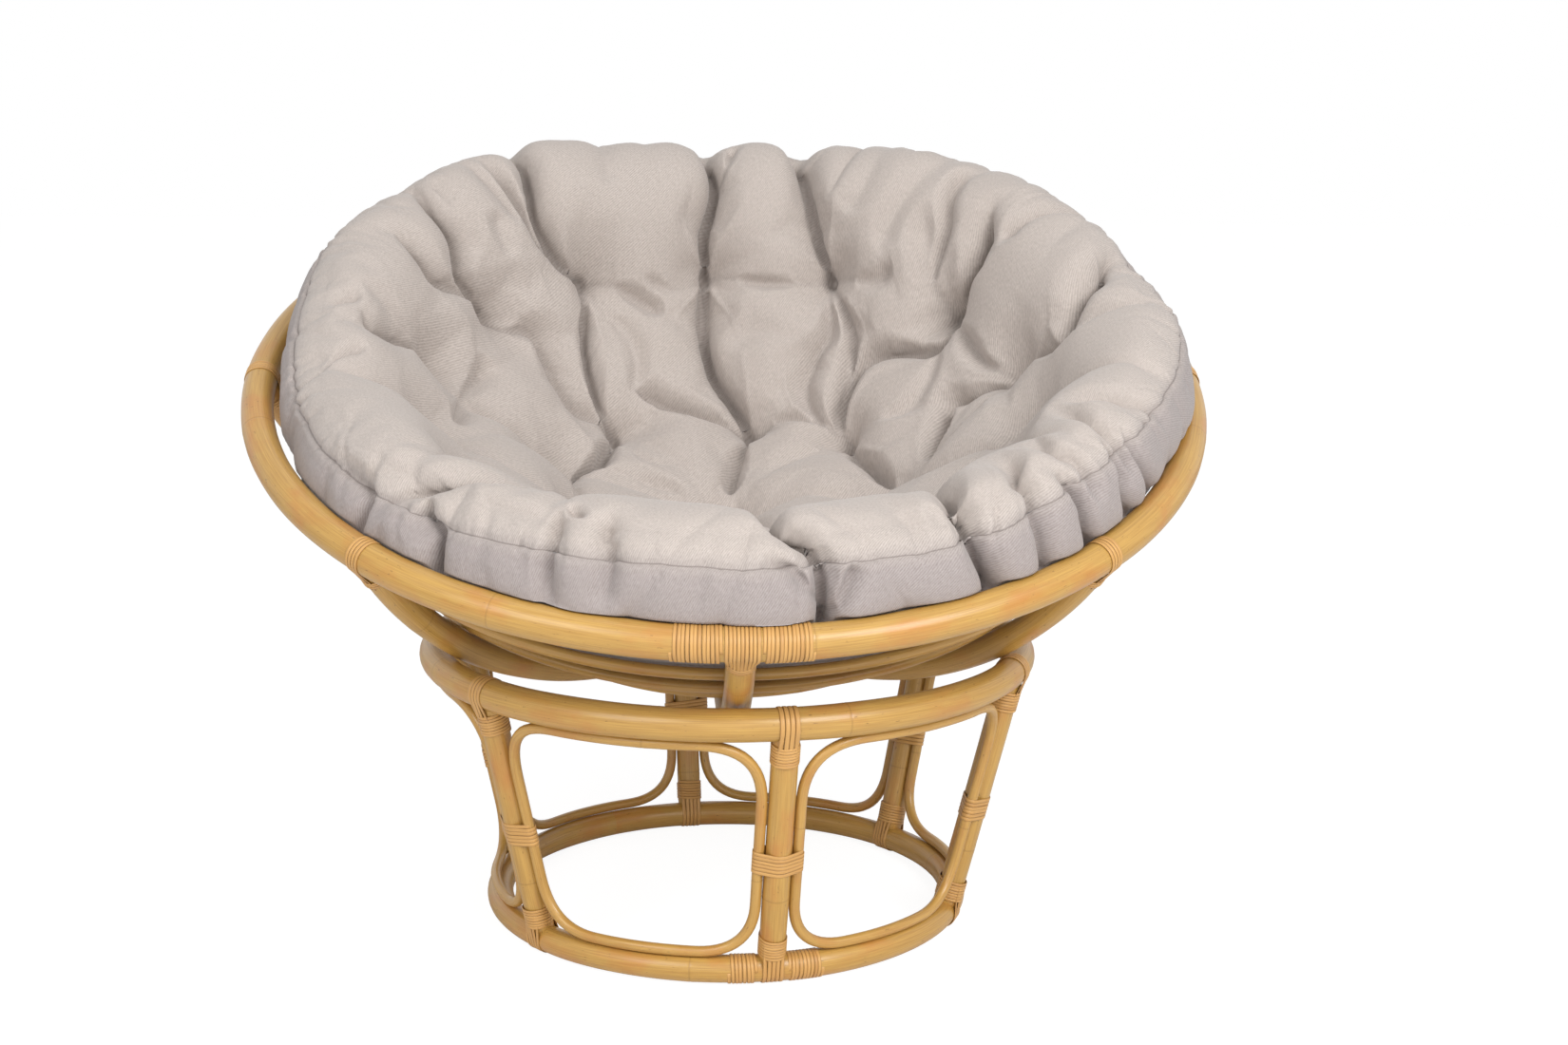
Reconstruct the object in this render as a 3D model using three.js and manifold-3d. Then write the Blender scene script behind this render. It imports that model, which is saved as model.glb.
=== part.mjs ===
import * as THREE from 'three';
import { mergeVertices } from 'three/addons/utils/BufferGeometryUtils.js';
import Module from 'manifold-3d';

// Papasan chair: a round rattan bowl that tilts on a drum-shaped rattan base, with a tufted cushion.
// Millimetres, +Z up. The chair faces -Y, and an azimuth is turned from the front towards +X.
// All rattan poles are polygons in section. A ring's facets are centred on what it carries, so that
// posts, ribs and bindings sit on straight stretches of it.

// Clearances
const seatGap = 0.3;
const bowlClearance = 0.3;
const hoopGap = 0.7;
const overrun = 1;
const weldShare = 0.001;

// Base
const topRingRadius = 331;
const topRingPoleRadius = 17.7;
const bottomRingRadius = 261.6;
const bottomRingPoleRadius = 15;
const ringSpacing = 285.5;
const postCount = 6;
const postPoleRadius = 14.5;
const firstPostAzimuth = 8.5;
const loopPoleRadius = 6;
const loopTopCorner = 70;
const loopBottomCorner = 60;

// Bowl
const rimRadius = 531.5;
const rimPoleRadius = 18.5;
const bowlDepth = 336.07;
const ribPoleRadius = 15.5;
const ribCount = 8;
const hoopPoleRadius = 6.75;
const hoopAngles = [51.5, 45.5, 31, 17];
const hubThickness = 26;
const hubShoulder = 3.25;
const hubRibSpace = 4;
const restTilt = 20.9;

// Cane bindings
const strapThickness = 0.8;
const caneWidth = 3.2;
const canePitch = 3.95;
const caneThickness = 0.9;
const collarThickness = 2.2;
const collarGroove = 0.5;
const collarTurnHeight = 6;
const strapWidth = 18;
const frontStrapWidth = 32;
const floorCut = 0.3;
const collarTurns = 2;
const midBindingTurns = 4;
const collarDrop = 4;
const midBindingShare = 0.55;
const footWindingTurns = [7, 9];
const rimWindingTurns = 12;
const windingSpace = 1.2;

// Cushion
const cushionThickness = 138;
const cushionSettle = 2;
const cushionEdgeAngle = 72.2;
const cushionEdgeLean = 1.1;
const crownLean = 9;
const tuftDepth = 84;
const tuftReach = 38;
const creaseDepth = 40;
const creaseShares = [1.05, 0.8, 0.85, 0.5, 0.3, 0.35, 0.45, 1.05, 0.75, 0.5, 0.55, 0.6, 0.65, 1];
const sideDraw = 7;
const outerTuftCount = 14;
const outerTuftAngle = 52;
const outerTuftAzimuth = 183;
const innerTuftCount = 8;
const innerTuftAngle = 27;
const innerTuftAzimuth = 170.14;

// Facets
const poleSides = 8;
const baseFacets = 48;
const rimFacets = 56;
const hoopFacets = [40, 40, 24, 24];
const ribSteps = 15;
const loopSteps = [2, 4, 1, 4, 3, 4, 1, 4, 2];
const loopSides = 6;
const hoopSides = 6;
const hubFacets = 24;
const socketFacets = 48;
const windingSteps = 8;
const cushionColumns = 56;

// Finishes
const rattan = { color: '#d3a65c', roughness: 0.42, metalness: 0 };
const cane = { color: '#dcb26c', roughness: 0.5, metalness: 0 };
const turnedWood = { color: '#c2924f', roughness: 0.5, metalness: 0 };
const twill = { color: '#b8aca4', roughness: 0.95, metalness: 0 };

const wasm = await Module();
wasm.setup();

const radians = THREE.MathUtils.degToRad;

// The middle of a facet lies a little nearer the axis than the ring's nominal radius.
const flatRadius = (radius, facets) => radius * Math.cos(Math.PI / facets);
const topFlatRadius = flatRadius(topRingRadius, baseFacets);
const bottomFlatRadius = flatRadius(bottomRingRadius, baseFacets);
const rimFlatRadius = flatRadius(rimRadius, rimFacets);

// Heights: the base stands on the cane under its bottom ring, cut flat at the floor.
const bottomRingHeight = bottomRingPoleRadius + seatGap + strapThickness - floorCut;
const topRingHeight = bottomRingHeight + ringSpacing;

// The bowl's ribs lie on a sphere through the rim and the bottom of the bowl. It rides on the
// cane straps of the top ring.
const ribSphereRadius = (rimFlatRadius ** 2 + bowlDepth ** 2) / (2 * bowlDepth);
const bowlReach = ribSphereRadius + ribPoleRadius + bowlClearance;
const ringFromCentre = bowlReach + strapThickness + seatGap + topRingPoleRadius;
const bowlCentreHeight = topRingHeight + Math.sqrt(ringFromCentre ** 2 - topFlatRadius ** 2);
const rimDrop = ribSphereRadius - bowlDepth;
const rimAngle = Math.acos(rimDrop / ribSphereRadius);
const rimShift = rimDrop * Math.sin(radians(restTilt));

// Solids for cutting and joining

function toSolid(geometry) {
  const bare = geometry.clone();
  bare.deleteAttribute('normal');
  bare.deleteAttribute('uv');
  const merged = mergeVertices(bare, weldShare * seatGap);
  const vertProperties = new Float32Array(merged.attributes.position.array);
  const triVerts = new Uint32Array(merged.index.array);
  return new wasm.Manifold(new wasm.Mesh({ numProp: 3, vertProperties, triVerts }));
}

function toGeometry(solid) {
  const mesh = solid.getMesh();
  const geometry = new THREE.BufferGeometry();
  geometry.setAttribute('position', new THREE.BufferAttribute(mesh.vertProperties, 3));
  geometry.setIndex(new THREE.BufferAttribute(mesh.triVerts, 1));
  return geometry;
}

// Points of a section or outline

function polygon(centre, radius, sides, start) {
  const points = [];
  for (let i = 0; i < sides; i += 1) {
    const angle = start + (i * 2 * Math.PI) / sides;
    points.push(new THREE.Vector2(
      centre.x + radius * Math.cos(angle),
      centre.y + radius * Math.sin(angle),
    ));
  }
  return points;
}

function convexHull(points) {
  const sorted = [...points].sort((a, b) => a.x - b.x || a.y - b.y);
  const turn = (o, a, b) => (a.x - o.x) * (b.y - o.y) - (a.y - o.y) * (b.x - o.x);
  const half = (list) => {
    const chain = [];
    for (const point of list) {
      while (chain.length > 1 && turn(chain.at(-2), chain.at(-1), point) <= 0) {
        chain.pop();
      }
      chain.push(point);
    }
    chain.pop();
    return chain;
  };
  return [...half(sorted), ...half([...sorted].reverse())];
}

// A closed body from rings of points, each ring linked to the next. The stack closes on its first
// ring, or ends in a flat or pointed cap at each end.

function stackRings(rings, closed) {
  const size = rings[0].length;
  const positions = rings.flat().flatMap((point) => point.toArray());
  const faces = [];
  const spans = closed ? rings.length : rings.length - 1;
  for (let i = 0; i < spans; i += 1) {
    const here = i * size;
    const next = ((i + 1) % rings.length) * size;
    for (let j = 0; j < size; j += 1) {
      const k = (j + 1) % size;
      faces.push(here + j, here + k, next + k, here + j, next + k, next + j);
    }
  }
  if (!closed) {
    const ends = [rings[0], rings.at(-1)];
    ends.forEach((ring, end) => {
      const middle = new THREE.Vector3();
      ring.forEach((point) => middle.addScaledVector(point, 1 / size));
      const apex = positions.length / 3;
      positions.push(...middle.toArray());
      const start = end * (rings.length - 1) * size;
      for (let j = 0; j < size; j += 1) {
        const k = (j + 1) % size;
        faces.push(...(end ? [start + j, start + k, apex] : [start + k, start + j, apex]));
      }
    });
  }
  const geometry = new THREE.BufferGeometry();
  geometry.setAttribute('position', new THREE.Float32BufferAttribute(positions, 3));
  geometry.setIndex(faces);
  return geometry;
}

// Poles: a ring about Z, and a pole along a path in the front meridian plane

const frontPlane = new THREE.Matrix4().makeBasis(
  new THREE.Vector3(0, -1, 0),
  new THREE.Vector3(0, 0, 1),
  new THREE.Vector3(-1, 0, 0),
);

function ringGeometry(radius, height, section, facets) {
  const centre = new THREE.Vector2(radius, height);
  const profile = polygon(centre, section.radius, section.sides, section.start);
  profile.push(profile[0].clone());
  const geometry = new THREE.LatheGeometry(profile, facets, -Math.PI / facets);
  return geometry.rotateX(Math.PI / 2);
}

function poleGeometry(path, radius, sides, steps) {
  const section = new THREE.Shape(polygon(new THREE.Vector2(), radius, sides, 0));
  return new THREE.ExtrudeGeometry(section, { steps, extrudePath: path });
}

// Base rings

const contactDirection = Math.atan2(bowlCentreHeight - topRingHeight, -topFlatRadius);

const topRing = {
  radius: topRingRadius,
  flat: topFlatRadius,
  height: topRingHeight,
  pole: topRingPoleRadius,
  strapReach: topRingPoleRadius + seatGap + strapThickness,
  start: contactDirection,
  facets: baseFacets,
};

const bottomRing = {
  radius: bottomRingRadius,
  flat: bottomFlatRadius,
  height: bottomRingHeight,
  pole: bottomRingPoleRadius,
  strapReach: (bottomRingPoleRadius + seatGap + strapThickness) / Math.cos(Math.PI / poleSides),
  start: Math.PI / poleSides,
  facets: baseFacets,
  stands: true,
};

const rimRing = {
  radius: rimRadius,
  flat: rimFlatRadius,
  height: -rimDrop,
  pole: rimPoleRadius,
  strapReach: rimPoleRadius + seatGap + strapThickness,
  start: Math.PI / poleSides,
  facets: rimFacets,
};

function poleRing(ring, growth = 0) {
  const section = { radius: ring.pole + growth, sides: poleSides, start: ring.start };
  return ringGeometry(ring.radius, ring.height, section, ring.facets);
}

// Posts: straight poles between the rings, hollowed at both ends to fit them

const postTop = new THREE.Vector2(topFlatRadius, topRingHeight);
const postBottom = new THREE.Vector2(bottomFlatRadius, bottomRingHeight);
const postLength = postTop.distanceTo(postBottom);
const postDown = postBottom.clone().sub(postTop).normalize();
const postUp = postDown.clone().negate();

function alongPost(distance) {
  return postTop.clone().addScaledVector(postDown, distance);
}

function frontPoint(point) {
  return new THREE.Vector3(0, -point.x, point.y);
}

function postGeometry() {
  const path = new THREE.LineCurve3(frontPoint(postTop), frontPoint(postBottom));
  const solid = toSolid(poleGeometry(path, postPoleRadius, poleSides, 1));
  const top = toSolid(poleRing(topRing, seatGap));
  const bottom = toSolid(poleRing(bottomRing, seatGap));
  return toGeometry(solid.subtract(top).subtract(bottom));
}

// Bay loops: one closed rod in each bay, lying under the top ring, on the bottom ring and along the posts

class BayLoopCurve extends THREE.Curve {
  constructor(outline) {
    super();
    this.outline = outline;
    this.stops = [0];
    const lengths = outline.getCurveLengths();
    lengths.forEach((end, piece) => {
      const begin = piece ? lengths[piece - 1] : 0;
      for (let i = 1; i <= loopSteps[piece]; i += 1) {
        const length = begin + ((end - begin) * i) / loopSteps[piece];
        this.stops.push(length / lengths.at(-1));
      }
    });
  }

  // The rod's sections lie close together round the corners.
  getUtoTmapping(u) {
    const at = u * (this.stops.length - 1);
    const index = Math.min(Math.floor(at), this.stops.length - 2);
    return THREE.MathUtils.lerp(this.stops[index], this.stops[index + 1], at - index);
  }

  getPoint(t, target = new THREE.Vector3()) {
    const { x, y } = this.outline.getPoint(t % 1);
    const spot = alongPost(y);
    const turn = x / spot.x;
    return target.set(spot.x * Math.sin(turn), -spot.x * Math.cos(turn), spot.y);
  }
}

const loopPostSpacing = postPoleRadius + loopPoleRadius + seatGap;
const loopTop = topRingPoleRadius + loopPoleRadius + seatGap;
const loopBottom = postLength - bottomRingPoleRadius - loopPoleRadius - seatGap;

function bayLoopGeometry() {
  const halfBay = Math.PI / postCount;
  const halfWidth = (distance) => alongPost(distance).x * halfBay - loopPostSpacing;
  const corners = [
    [new THREE.Vector2(halfWidth(loopTop), loopTop), loopTopCorner],
    [new THREE.Vector2(halfWidth(loopBottom), loopBottom), loopBottomCorner],
    [new THREE.Vector2(-halfWidth(loopBottom), loopBottom), loopBottomCorner],
    [new THREE.Vector2(-halfWidth(loopTop), loopTop), loopTopCorner],
  ];
  const outline = new THREE.Path();
  const middleOfTop = new THREE.Vector2(0, loopTop);
  outline.moveTo(middleOfTop.x, middleOfTop.y);
  corners.forEach(([corner, reach], index) => {
    const before = index ? corners[index - 1][0] : middleOfTop;
    const after = index < corners.length - 1 ? corners[index + 1][0] : middleOfTop;
    const start = corner.clone().add(before.clone().sub(corner).setLength(reach));
    const end = corner.clone().add(after.clone().sub(corner).setLength(reach));
    outline.lineTo(start.x, start.y);
    outline.quadraticCurveTo(corner.x, corner.y, end.x, end.y);
  });
  outline.lineTo(middleOfTop.x, middleOfTop.y);
  const curve = new BayLoopCurve(outline);
  return new THREE.TubeGeometry(curve, curve.stops.length - 1, loopPoleRadius, loopSides, true);
}

// Cane bindings

// A ribbed sleeve of cane turns round an outline, along +Z from zero.
function sleeveGeometry(outlineAt, turns) {
  const steps = [];
  for (let i = 0; i <= 2 * turns; i += 1) {
    const out = i % 2 ? collarThickness : collarThickness - collarGroove;
    steps.push([out, (i * collarTurnHeight) / 2]);
  }
  steps.push([0, turns * collarTurnHeight], [0, 0]);
  const rings = steps.map(([out, height]) => (
    outlineAt(out).map((point) => new THREE.Vector3(point.x, point.y, height))
  ));
  return stackRings(rings, true);
}

// A flat strap over a ring and down two faces of the pole that meets it, tied by a collar on the pole.
// It is built in the front meridian plane: x is the distance from the axis, y the height.
function strapGeometry(ring, pole, direction, collarStart, width) {
  const centre = new THREE.Vector2(ring.flat, ring.height);
  const across = new THREE.Vector2(-direction.y, direction.x);
  const legEnd = collarStart + overrun;
  const outlineAt = (growth, loopRadius) => {
    const legs = [-1, 1].map((side) => centre.clone()
      .addScaledVector(direction, legEnd)
      .addScaledVector(across, side * (pole + growth)));
    const loop = polygon(centre, loopRadius, poleSides, ring.start);
    const hull = convexHull([...loop, ...legs]);
    const first = hull.indexOf(legs[0]);
    const turned = [...hull.slice(first), ...hull.slice(0, first)];
    return turned.at(-1) === legs[1] ? turned : [...turned.slice(1), turned[0]];
  };
  const outer = outlineAt(seatGap + strapThickness, ring.strapReach);
  const inner = outlineAt(seatGap, ring.pole + seatGap);
  const shape = new THREE.Shape([...outer, ...inner.reverse()]);
  const geometry = new THREE.ExtrudeGeometry(shape, { depth: width, bevelEnabled: false });
  return geometry.translate(0, 0, -width / 2).applyMatrix4(frontPlane);
}

function collarGeometry(ring, pole, direction, collarStart, turns) {
  const outlineAt = (growth) => (
    polygon(new THREE.Vector2(), pole + seatGap + growth, poleSides, 0)
  );
  const centre = new THREE.Vector2(ring.flat, ring.height);
  const start = frontPoint(centre.addScaledVector(direction, collarStart));
  const axis = frontPoint(direction).normalize();
  const side = new THREE.Vector3(1, 0, 0);
  const basis = new THREE.Matrix4().makeBasis(side, axis.clone().cross(side), axis);
  return sleeveGeometry(outlineAt, turns).applyMatrix4(basis).translate(start.x, start.y, start.z);
}

function bindingGeometry(ring, pole, direction, collarStart, width, turns) {
  const strap = strapGeometry(ring, pole, direction, collarStart, width);
  const collar = collarGeometry(ring, pole, direction, collarStart, turns);
  return toGeometry(toSolid(ring.stands ? standOnFloor(strap) : strap).add(toSolid(collar)));
}

// What would reach below the floor is pressed flat on it.
function standOnFloor(geometry) {
  const { position } = geometry.attributes;
  for (let i = 0; i < position.count; i += 1) {
    position.setZ(i, Math.max(position.getZ(i), 0));
  }
  return geometry;
}

function topBindingGeometry() {
  const start = topRingPoleRadius + collarDrop;
  return bindingGeometry(topRing, postPoleRadius, postDown, start, strapWidth, collarTurns);
}

function footBindingGeometry() {
  const start = bottomRingPoleRadius + collarDrop;
  return bindingGeometry(bottomRing, postPoleRadius, postUp, start, strapWidth, collarTurns);
}

// The middle binding goes round a post and the rods of the bays beside it.
function midBindingGeometry() {
  const height = midBindingTurns * collarTurnHeight;
  const start = midBindingShare * postLength - height / 2;
  const spot = alongPost(start);
  const turn = 2 * Math.asin(loopPostSpacing / 2 / spot.x);
  const aside = spot.x * Math.sin(turn);
  const inwards = -spot.x * (1 - Math.cos(turn));
  const outlineAt = (growth) => convexHull([
    ...polygon(new THREE.Vector2(), postPoleRadius + seatGap + growth, poleSides, 0),
    ...polygon(new THREE.Vector2(aside, inwards), loopPoleRadius + 2 * seatGap + growth, loopSides, 0),
    ...polygon(new THREE.Vector2(-aside, inwards), loopPoleRadius + 2 * seatGap + growth, loopSides, 0),
  ]);
  const axis = frontPoint(postDown).normalize();
  const side = new THREE.Vector3(1, 0, 0);
  const basis = new THREE.Matrix4().makeBasis(side, axis.clone().cross(side), axis);
  const at = frontPoint(spot);
  return sleeveGeometry(outlineAt, midBindingTurns).applyMatrix4(basis).translate(at.x, at.y, at.z);
}

// Windings: a flat cane laid round a ring in an unbroken helix

const windings = [];

function windingGeometry(ring, startDistance, side, turns) {
  const standOff = (seatGap + caneThickness / 2) / Math.cos(Math.PI / windingSteps);
  const radius = ring.pole + standOff;
  const points = [];
  const frames = [];
  const total = turns * windingSteps;
  for (let i = 0; i <= total; i += 1) {
    const spin = ((2 * i + 1) * Math.PI) / windingSteps;
    const along = startDistance + (i * canePitch) / windingSteps;
    const azimuth = (side * along) / ring.radius;
    const half = Math.PI / ring.facets;
    const local = azimuth - Math.round(azimuth / (2 * half)) * 2 * half;
    const middle = ring.flat / Math.cos(local);
    const radial = new THREE.Vector3(Math.sin(azimuth), -Math.cos(azimuth), 0);
    const out = radial.clone().multiplyScalar(Math.cos(spin));
    out.z = Math.sin(spin);
    const centre = radial.clone().multiplyScalar(middle);
    centre.z = ring.height;
    points.push(centre.addScaledVector(out, radius));
    frames.push({ out, along: new THREE.Vector3(Math.cos(azimuth), Math.sin(azimuth), 0) });
  }
  const first = points[0].clone().add(points[0].clone().sub(points[1]).setLength(caneWidth));
  const last = points.at(-1).clone().add(points.at(-1).clone().sub(points.at(-2)).setLength(caneWidth));
  points.unshift(first);
  points.push(last);
  frames.unshift(frames[0]);
  frames.push(frames.at(-1));
  const corners = [[-1, 1], [1, 1], [1, -1], [-1, -1]];
  const rings = points.map((point, i) => corners.map(([u, v]) => point.clone()
    .addScaledVector(frames[i].along, (u * caneWidth) / 2)
    .addScaledVector(frames[i].out, (v * caneThickness) / 2)));
  windings.push({ rings, perTurn: windingSteps });
  return stackRings(rings, false);
}

// Bowl

const bowlRib = (angle) => new THREE.Vector2(
  ribSphereRadius * Math.sin(angle),
  -ribSphereRadius * Math.cos(angle),
);

class RibCurve extends THREE.Curve {
  getPoint(t, target = new THREE.Vector3()) {
    const angle = THREE.MathUtils.lerp(ribStart, rimAngle, t);
    return target.copy(frontPoint(bowlRib(angle)));
  }
}

const hubRadius = ribPoleRadius / Math.sin(Math.PI / ribCount) + hubRibSpace;
const ribStart = Math.asin((hubRadius - overrun) / ribSphereRadius);

function hubGeometry() {
  const half = hubThickness / 2;
  const edge = hubRadius;
  const profile = [
    [0, -half],
    [edge - hubShoulder, -half],
    [edge, -half + hubShoulder],
    [edge, half - hubShoulder],
    [edge - hubShoulder, half],
    [0, half],
  ].map(([x, y]) => new THREE.Vector2(x, y - ribSphereRadius));
  return new THREE.LatheGeometry(profile, hubFacets).rotateX(Math.PI / 2);
}

function ribGeometry() {
  const solid = toSolid(poleGeometry(new RibCurve(), ribPoleRadius, poleSides, ribSteps));
  const socket = toSolid(new THREE.CylinderGeometry(
    hubRadius + seatGap,
    hubRadius + seatGap,
    hubThickness + 2 * ribPoleRadius,
    socketFacets,
  ).rotateX(Math.PI / 2).translate(0, 0, -ribSphereRadius));
  return toGeometry(solid.subtract(toSolid(poleRing(rimRing, seatGap))).subtract(socket));
}

function hoopGeometry(index) {
  const angle = radians(hoopAngles[index]);
  const reach = ribSphereRadius - ribPoleRadius - hoopGap - hoopPoleRadius;
  const section = {
    radius: hoopPoleRadius,
    sides: hoopSides,
    start: Math.atan2(-Math.cos(angle), Math.sin(angle)),
  };
  const facets = hoopFacets[index];
  const geometry = ringGeometry(reach * Math.sin(angle), -reach * Math.cos(angle), section, facets);
  return geometry.rotateZ(Math.PI / facets);
}

const rimCollarStart = rimPoleRadius + collarDrop;
const ribDirection = bowlRib(rimAngle - rimCollarStart / ribSphereRadius)
  .sub(bowlRib(rimAngle)).normalize();

function rimBindingGeometry(width) {
  const reach = ribPoleRadius + seatGap;
  return bindingGeometry(rimRing, reach, ribDirection, rimCollarStart, width, collarTurns);
}

// Cushion: a crowned pad that lines the bowl, with sewn tufts, creases over its edge and a boxed side

const widestHoop = ribSphereRadius * Math.sin(radians(hoopAngles[0]));
const hoopSag = widestHoop * (1 - Math.cos(Math.PI / hoopFacets[0]));
const cushionReach = ribSphereRadius - ribPoleRadius - hoopGap - 2 * hoopPoleRadius - hoopSag - seatGap;

// Each station is a share of the edge angle, a share of the thickness and, on the seat, a share of
// the depth that the cover is drawn in. They run from the middle of the seat over the edge to the
// seam, down the side and back under the pad.
const seatShares = [
  [0.082, 1.04, 1], [0.18, 1.11, 1], [0.277, 1.09, 1], [0.374, 1.06, 1], [0.461, 1.1, 1],
  [0.554, 1.11, 1], [0.641, 1.1, 1], [0.72, 1.05, 1], [0.79, 1.02, 1], [0.859, 0.985, 1],
  [0.92, 0.925, 1], [0.97, 0.8, 0.75], [0.996, 0.62, 0.3],
];
const edgeShares = [[1, 0.46], [0.986, 0.28], [0.962, 0.14]];
const sideShares = [[0.915, 0.02], [0.866, 0.005]];
const underShares = [[0.78, 0], [0.59, 0], [0.39, 0], [0.19, 0]];

function tuftPlaces() {
  const places = [{ angle: 0, azimuth: 0 }];
  for (let i = 0; i < innerTuftCount; i += 1) {
    const azimuth = radians(innerTuftAzimuth + (i * 360) / innerTuftCount);
    places.push({ angle: radians(innerTuftAngle), azimuth });
  }
  for (let i = 0; i < outerTuftCount; i += 1) {
    const azimuth = radians(outerTuftAzimuth + (i * 360) / outerTuftCount);
    places.push({ angle: radians(outerTuftAngle), azimuth });
  }
  return places.map(({ angle, azimuth }) => bowlDirection(angle, azimuth));
}

function bowlDirection(angle, azimuth) {
  return new THREE.Vector3(
    Math.sin(angle) * Math.sin(azimuth),
    -Math.sin(angle) * Math.cos(azimuth),
    -Math.cos(angle),
  );
}

function bell(distance, reach) {
  return Math.exp(-((distance / reach) ** 2));
}

// How deep the cover is drawn in at a place: at the tufts, and in the crease beyond each outer tuft
function drawnIn(angle, azimuth, tufts) {
  const here = bowlDirection(angle, azimuth);
  const depths = tufts.map((tuft) => {
    const distance = here.angleTo(tuft) * cushionReach;
    return tuftDepth * bell(distance, tuftReach);
  });
  const step = (2 * Math.PI) / outerTuftCount;
  const past = azimuth - radians(outerTuftAzimuth);
  const nearest = THREE.MathUtils.euclideanModulo(Math.round(past / step), outerTuftCount);
  const crease = creaseShares[nearest] * (1 - Math.abs(Math.sin((past / step) * Math.PI)));
  const beyond = THREE.MathUtils.smoothstep(
    angle,
    radians(innerTuftAngle),
    radians(outerTuftAngle),
  );
  const upwards = THREE.MathUtils.smoothstep(
    angle,
    radians(innerTuftAngle),
    radians(cushionEdgeAngle),
  );
  const lean = upwards * crownLean * Math.cos(azimuth);
  return Math.max(...depths, creaseDepth * beyond * crease) + lean;
}

function cushionGeometry() {
  const tufts = tuftPlaces();
  const stations = [
    ...seatShares.map((shares) => ({ shares, drawn: shares[2] })),
    ...edgeShares.map((shares) => ({ shares, drawn: -sideDraw / creaseDepth })),
    ...sideShares.map((shares) => ({ shares, drawn: -sideDraw / creaseDepth })),
    ...underShares.map((shares) => ({ shares, drawn: 0 })),
  ];
  const rings = stations.map(({ shares: [angleShare, thicknessShare], drawn }) => {
    const ring = [];
    for (let j = 0; j < cushionColumns; j += 1) {
      const azimuth = radians(outerTuftAzimuth) - (j * 2 * Math.PI) / cushionColumns;
      const lean = cushionEdgeLean * Math.cos(azimuth);
      const angle = radians(angleShare * (cushionEdgeAngle - lean));
      const inset = drawn * drawnIn(angle, azimuth, tufts);
      const thickness = thicknessShare * cushionThickness;
      const reach = cushionReach - thickness + inset;
      ring.push(bowlDirection(angle, azimuth).multiplyScalar(reach));
    }
    return ring;
  });
  return stackRings(rings, false);
}

// Assembly

const chair = new THREE.Group();
const base = new THREE.Group();
const bowl = new THREE.Group();
chair.add(base, bowl);

function place(parent, name, geometry, finish, azimuth = 0) {
  const mesh = new THREE.Mesh(geometry, new THREE.MeshStandardMaterial(finish));
  mesh.name = name;
  mesh.rotation.z = radians(azimuth);
  parent.add(mesh);
  return mesh;
}

base.rotation.z = radians(firstPostAzimuth);
const baseParts = {
  post: postGeometry(),
  bay: bayLoopGeometry(),
  top: topBindingGeometry(),
  middle: midBindingGeometry(),
  foot: footBindingGeometry(),
};
place(base, 'base_top_ring', poleRing(topRing), rattan);
place(base, 'base_bottom_ring', poleRing(bottomRing), rattan);
for (let i = 0; i < postCount; i += 1) {
  const azimuth = (i * 360) / postCount;
  place(base, `base_post_${i + 1}`, baseParts.post, rattan, azimuth);
  place(base, `bay_loop_${i + 1}`, baseParts.bay, rattan, azimuth + 180 / postCount);
  place(base, `post_top_binding_${i + 1}`, baseParts.top, cane, azimuth);
  place(base, `post_mid_binding_${i + 1}`, baseParts.middle, cane, azimuth);
  place(base, `post_foot_binding_${i + 1}`, baseParts.foot, cane, azimuth);
}
['left', 'right'].forEach((name, index) => {
  const start = postPoleRadius + collarThickness + windingSpace;
  const side = index ? 1 : -1;
  const helix = windingGeometry(bottomRing, start, side, footWindingTurns[index]);
  place(base, `foot_winding_${name}`, standOnFloor(helix), cane);
});

bowl.position.z = bowlCentreHeight;
bowl.rotation.x = radians(restTilt);
place(bowl, 'bowl_rim', poleRing(rimRing), rattan);
place(bowl, 'bowl_hub', hubGeometry(), turnedWood);
hoopAngles.forEach((angle, index) => {
  place(bowl, `bowl_hoop_${index + 1}`, hoopGeometry(index), rattan);
});
const rib = ribGeometry();
const rimBinding = rimBindingGeometry(strapWidth);
const frontRimBinding = rimBindingGeometry(frontStrapWidth);
for (let i = 0; i < ribCount; i += 1) {
  const azimuth = (i * 360) / ribCount;
  place(bowl, `bowl_rib_${i + 1}`, rib, rattan, azimuth);
  place(bowl, `rim_binding_${i + 1}`, i ? rimBinding : frontRimBinding, cane, azimuth);
}
['left', 'right'].forEach((name, index) => {
  const start = frontStrapWidth / 2 + caneWidth / 2 + windingSpace;
  place(
    bowl,
    `rim_winding_${name}`,
    windingGeometry(rimRing, start, index ? 1 : -1, rimWindingTurns),
    cane,
  );
});
const cushion = place(bowl, 'cushion', cushionGeometry(), twill);
// The cushion has settled a little towards the low side of the bowl.
cushion.rotation.x = -radians(cushionSettle);

// The origin lies under the middle of the chair, so the base stands a little towards the front.
chair.position.y = -rimShift;

// Least gap between neighbouring turns of each winding, measured between their sections
windings.forEach(({ rings, perTurn }) => {
  let least = Infinity;
  for (let i = 0; i + perTurn < rings.length; i += 1) {
    rings[i].forEach((a) => {
      rings[i + perTurn].forEach((b) => {
        least = Math.min(least, a.distanceTo(b));
      });
    });
  }
  console.log(`least gap between turns ${least.toFixed(2)} mm`);
});

export default chair;
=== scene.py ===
import math

import bpy
import numpy as np
from mathutils import Matrix

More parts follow.
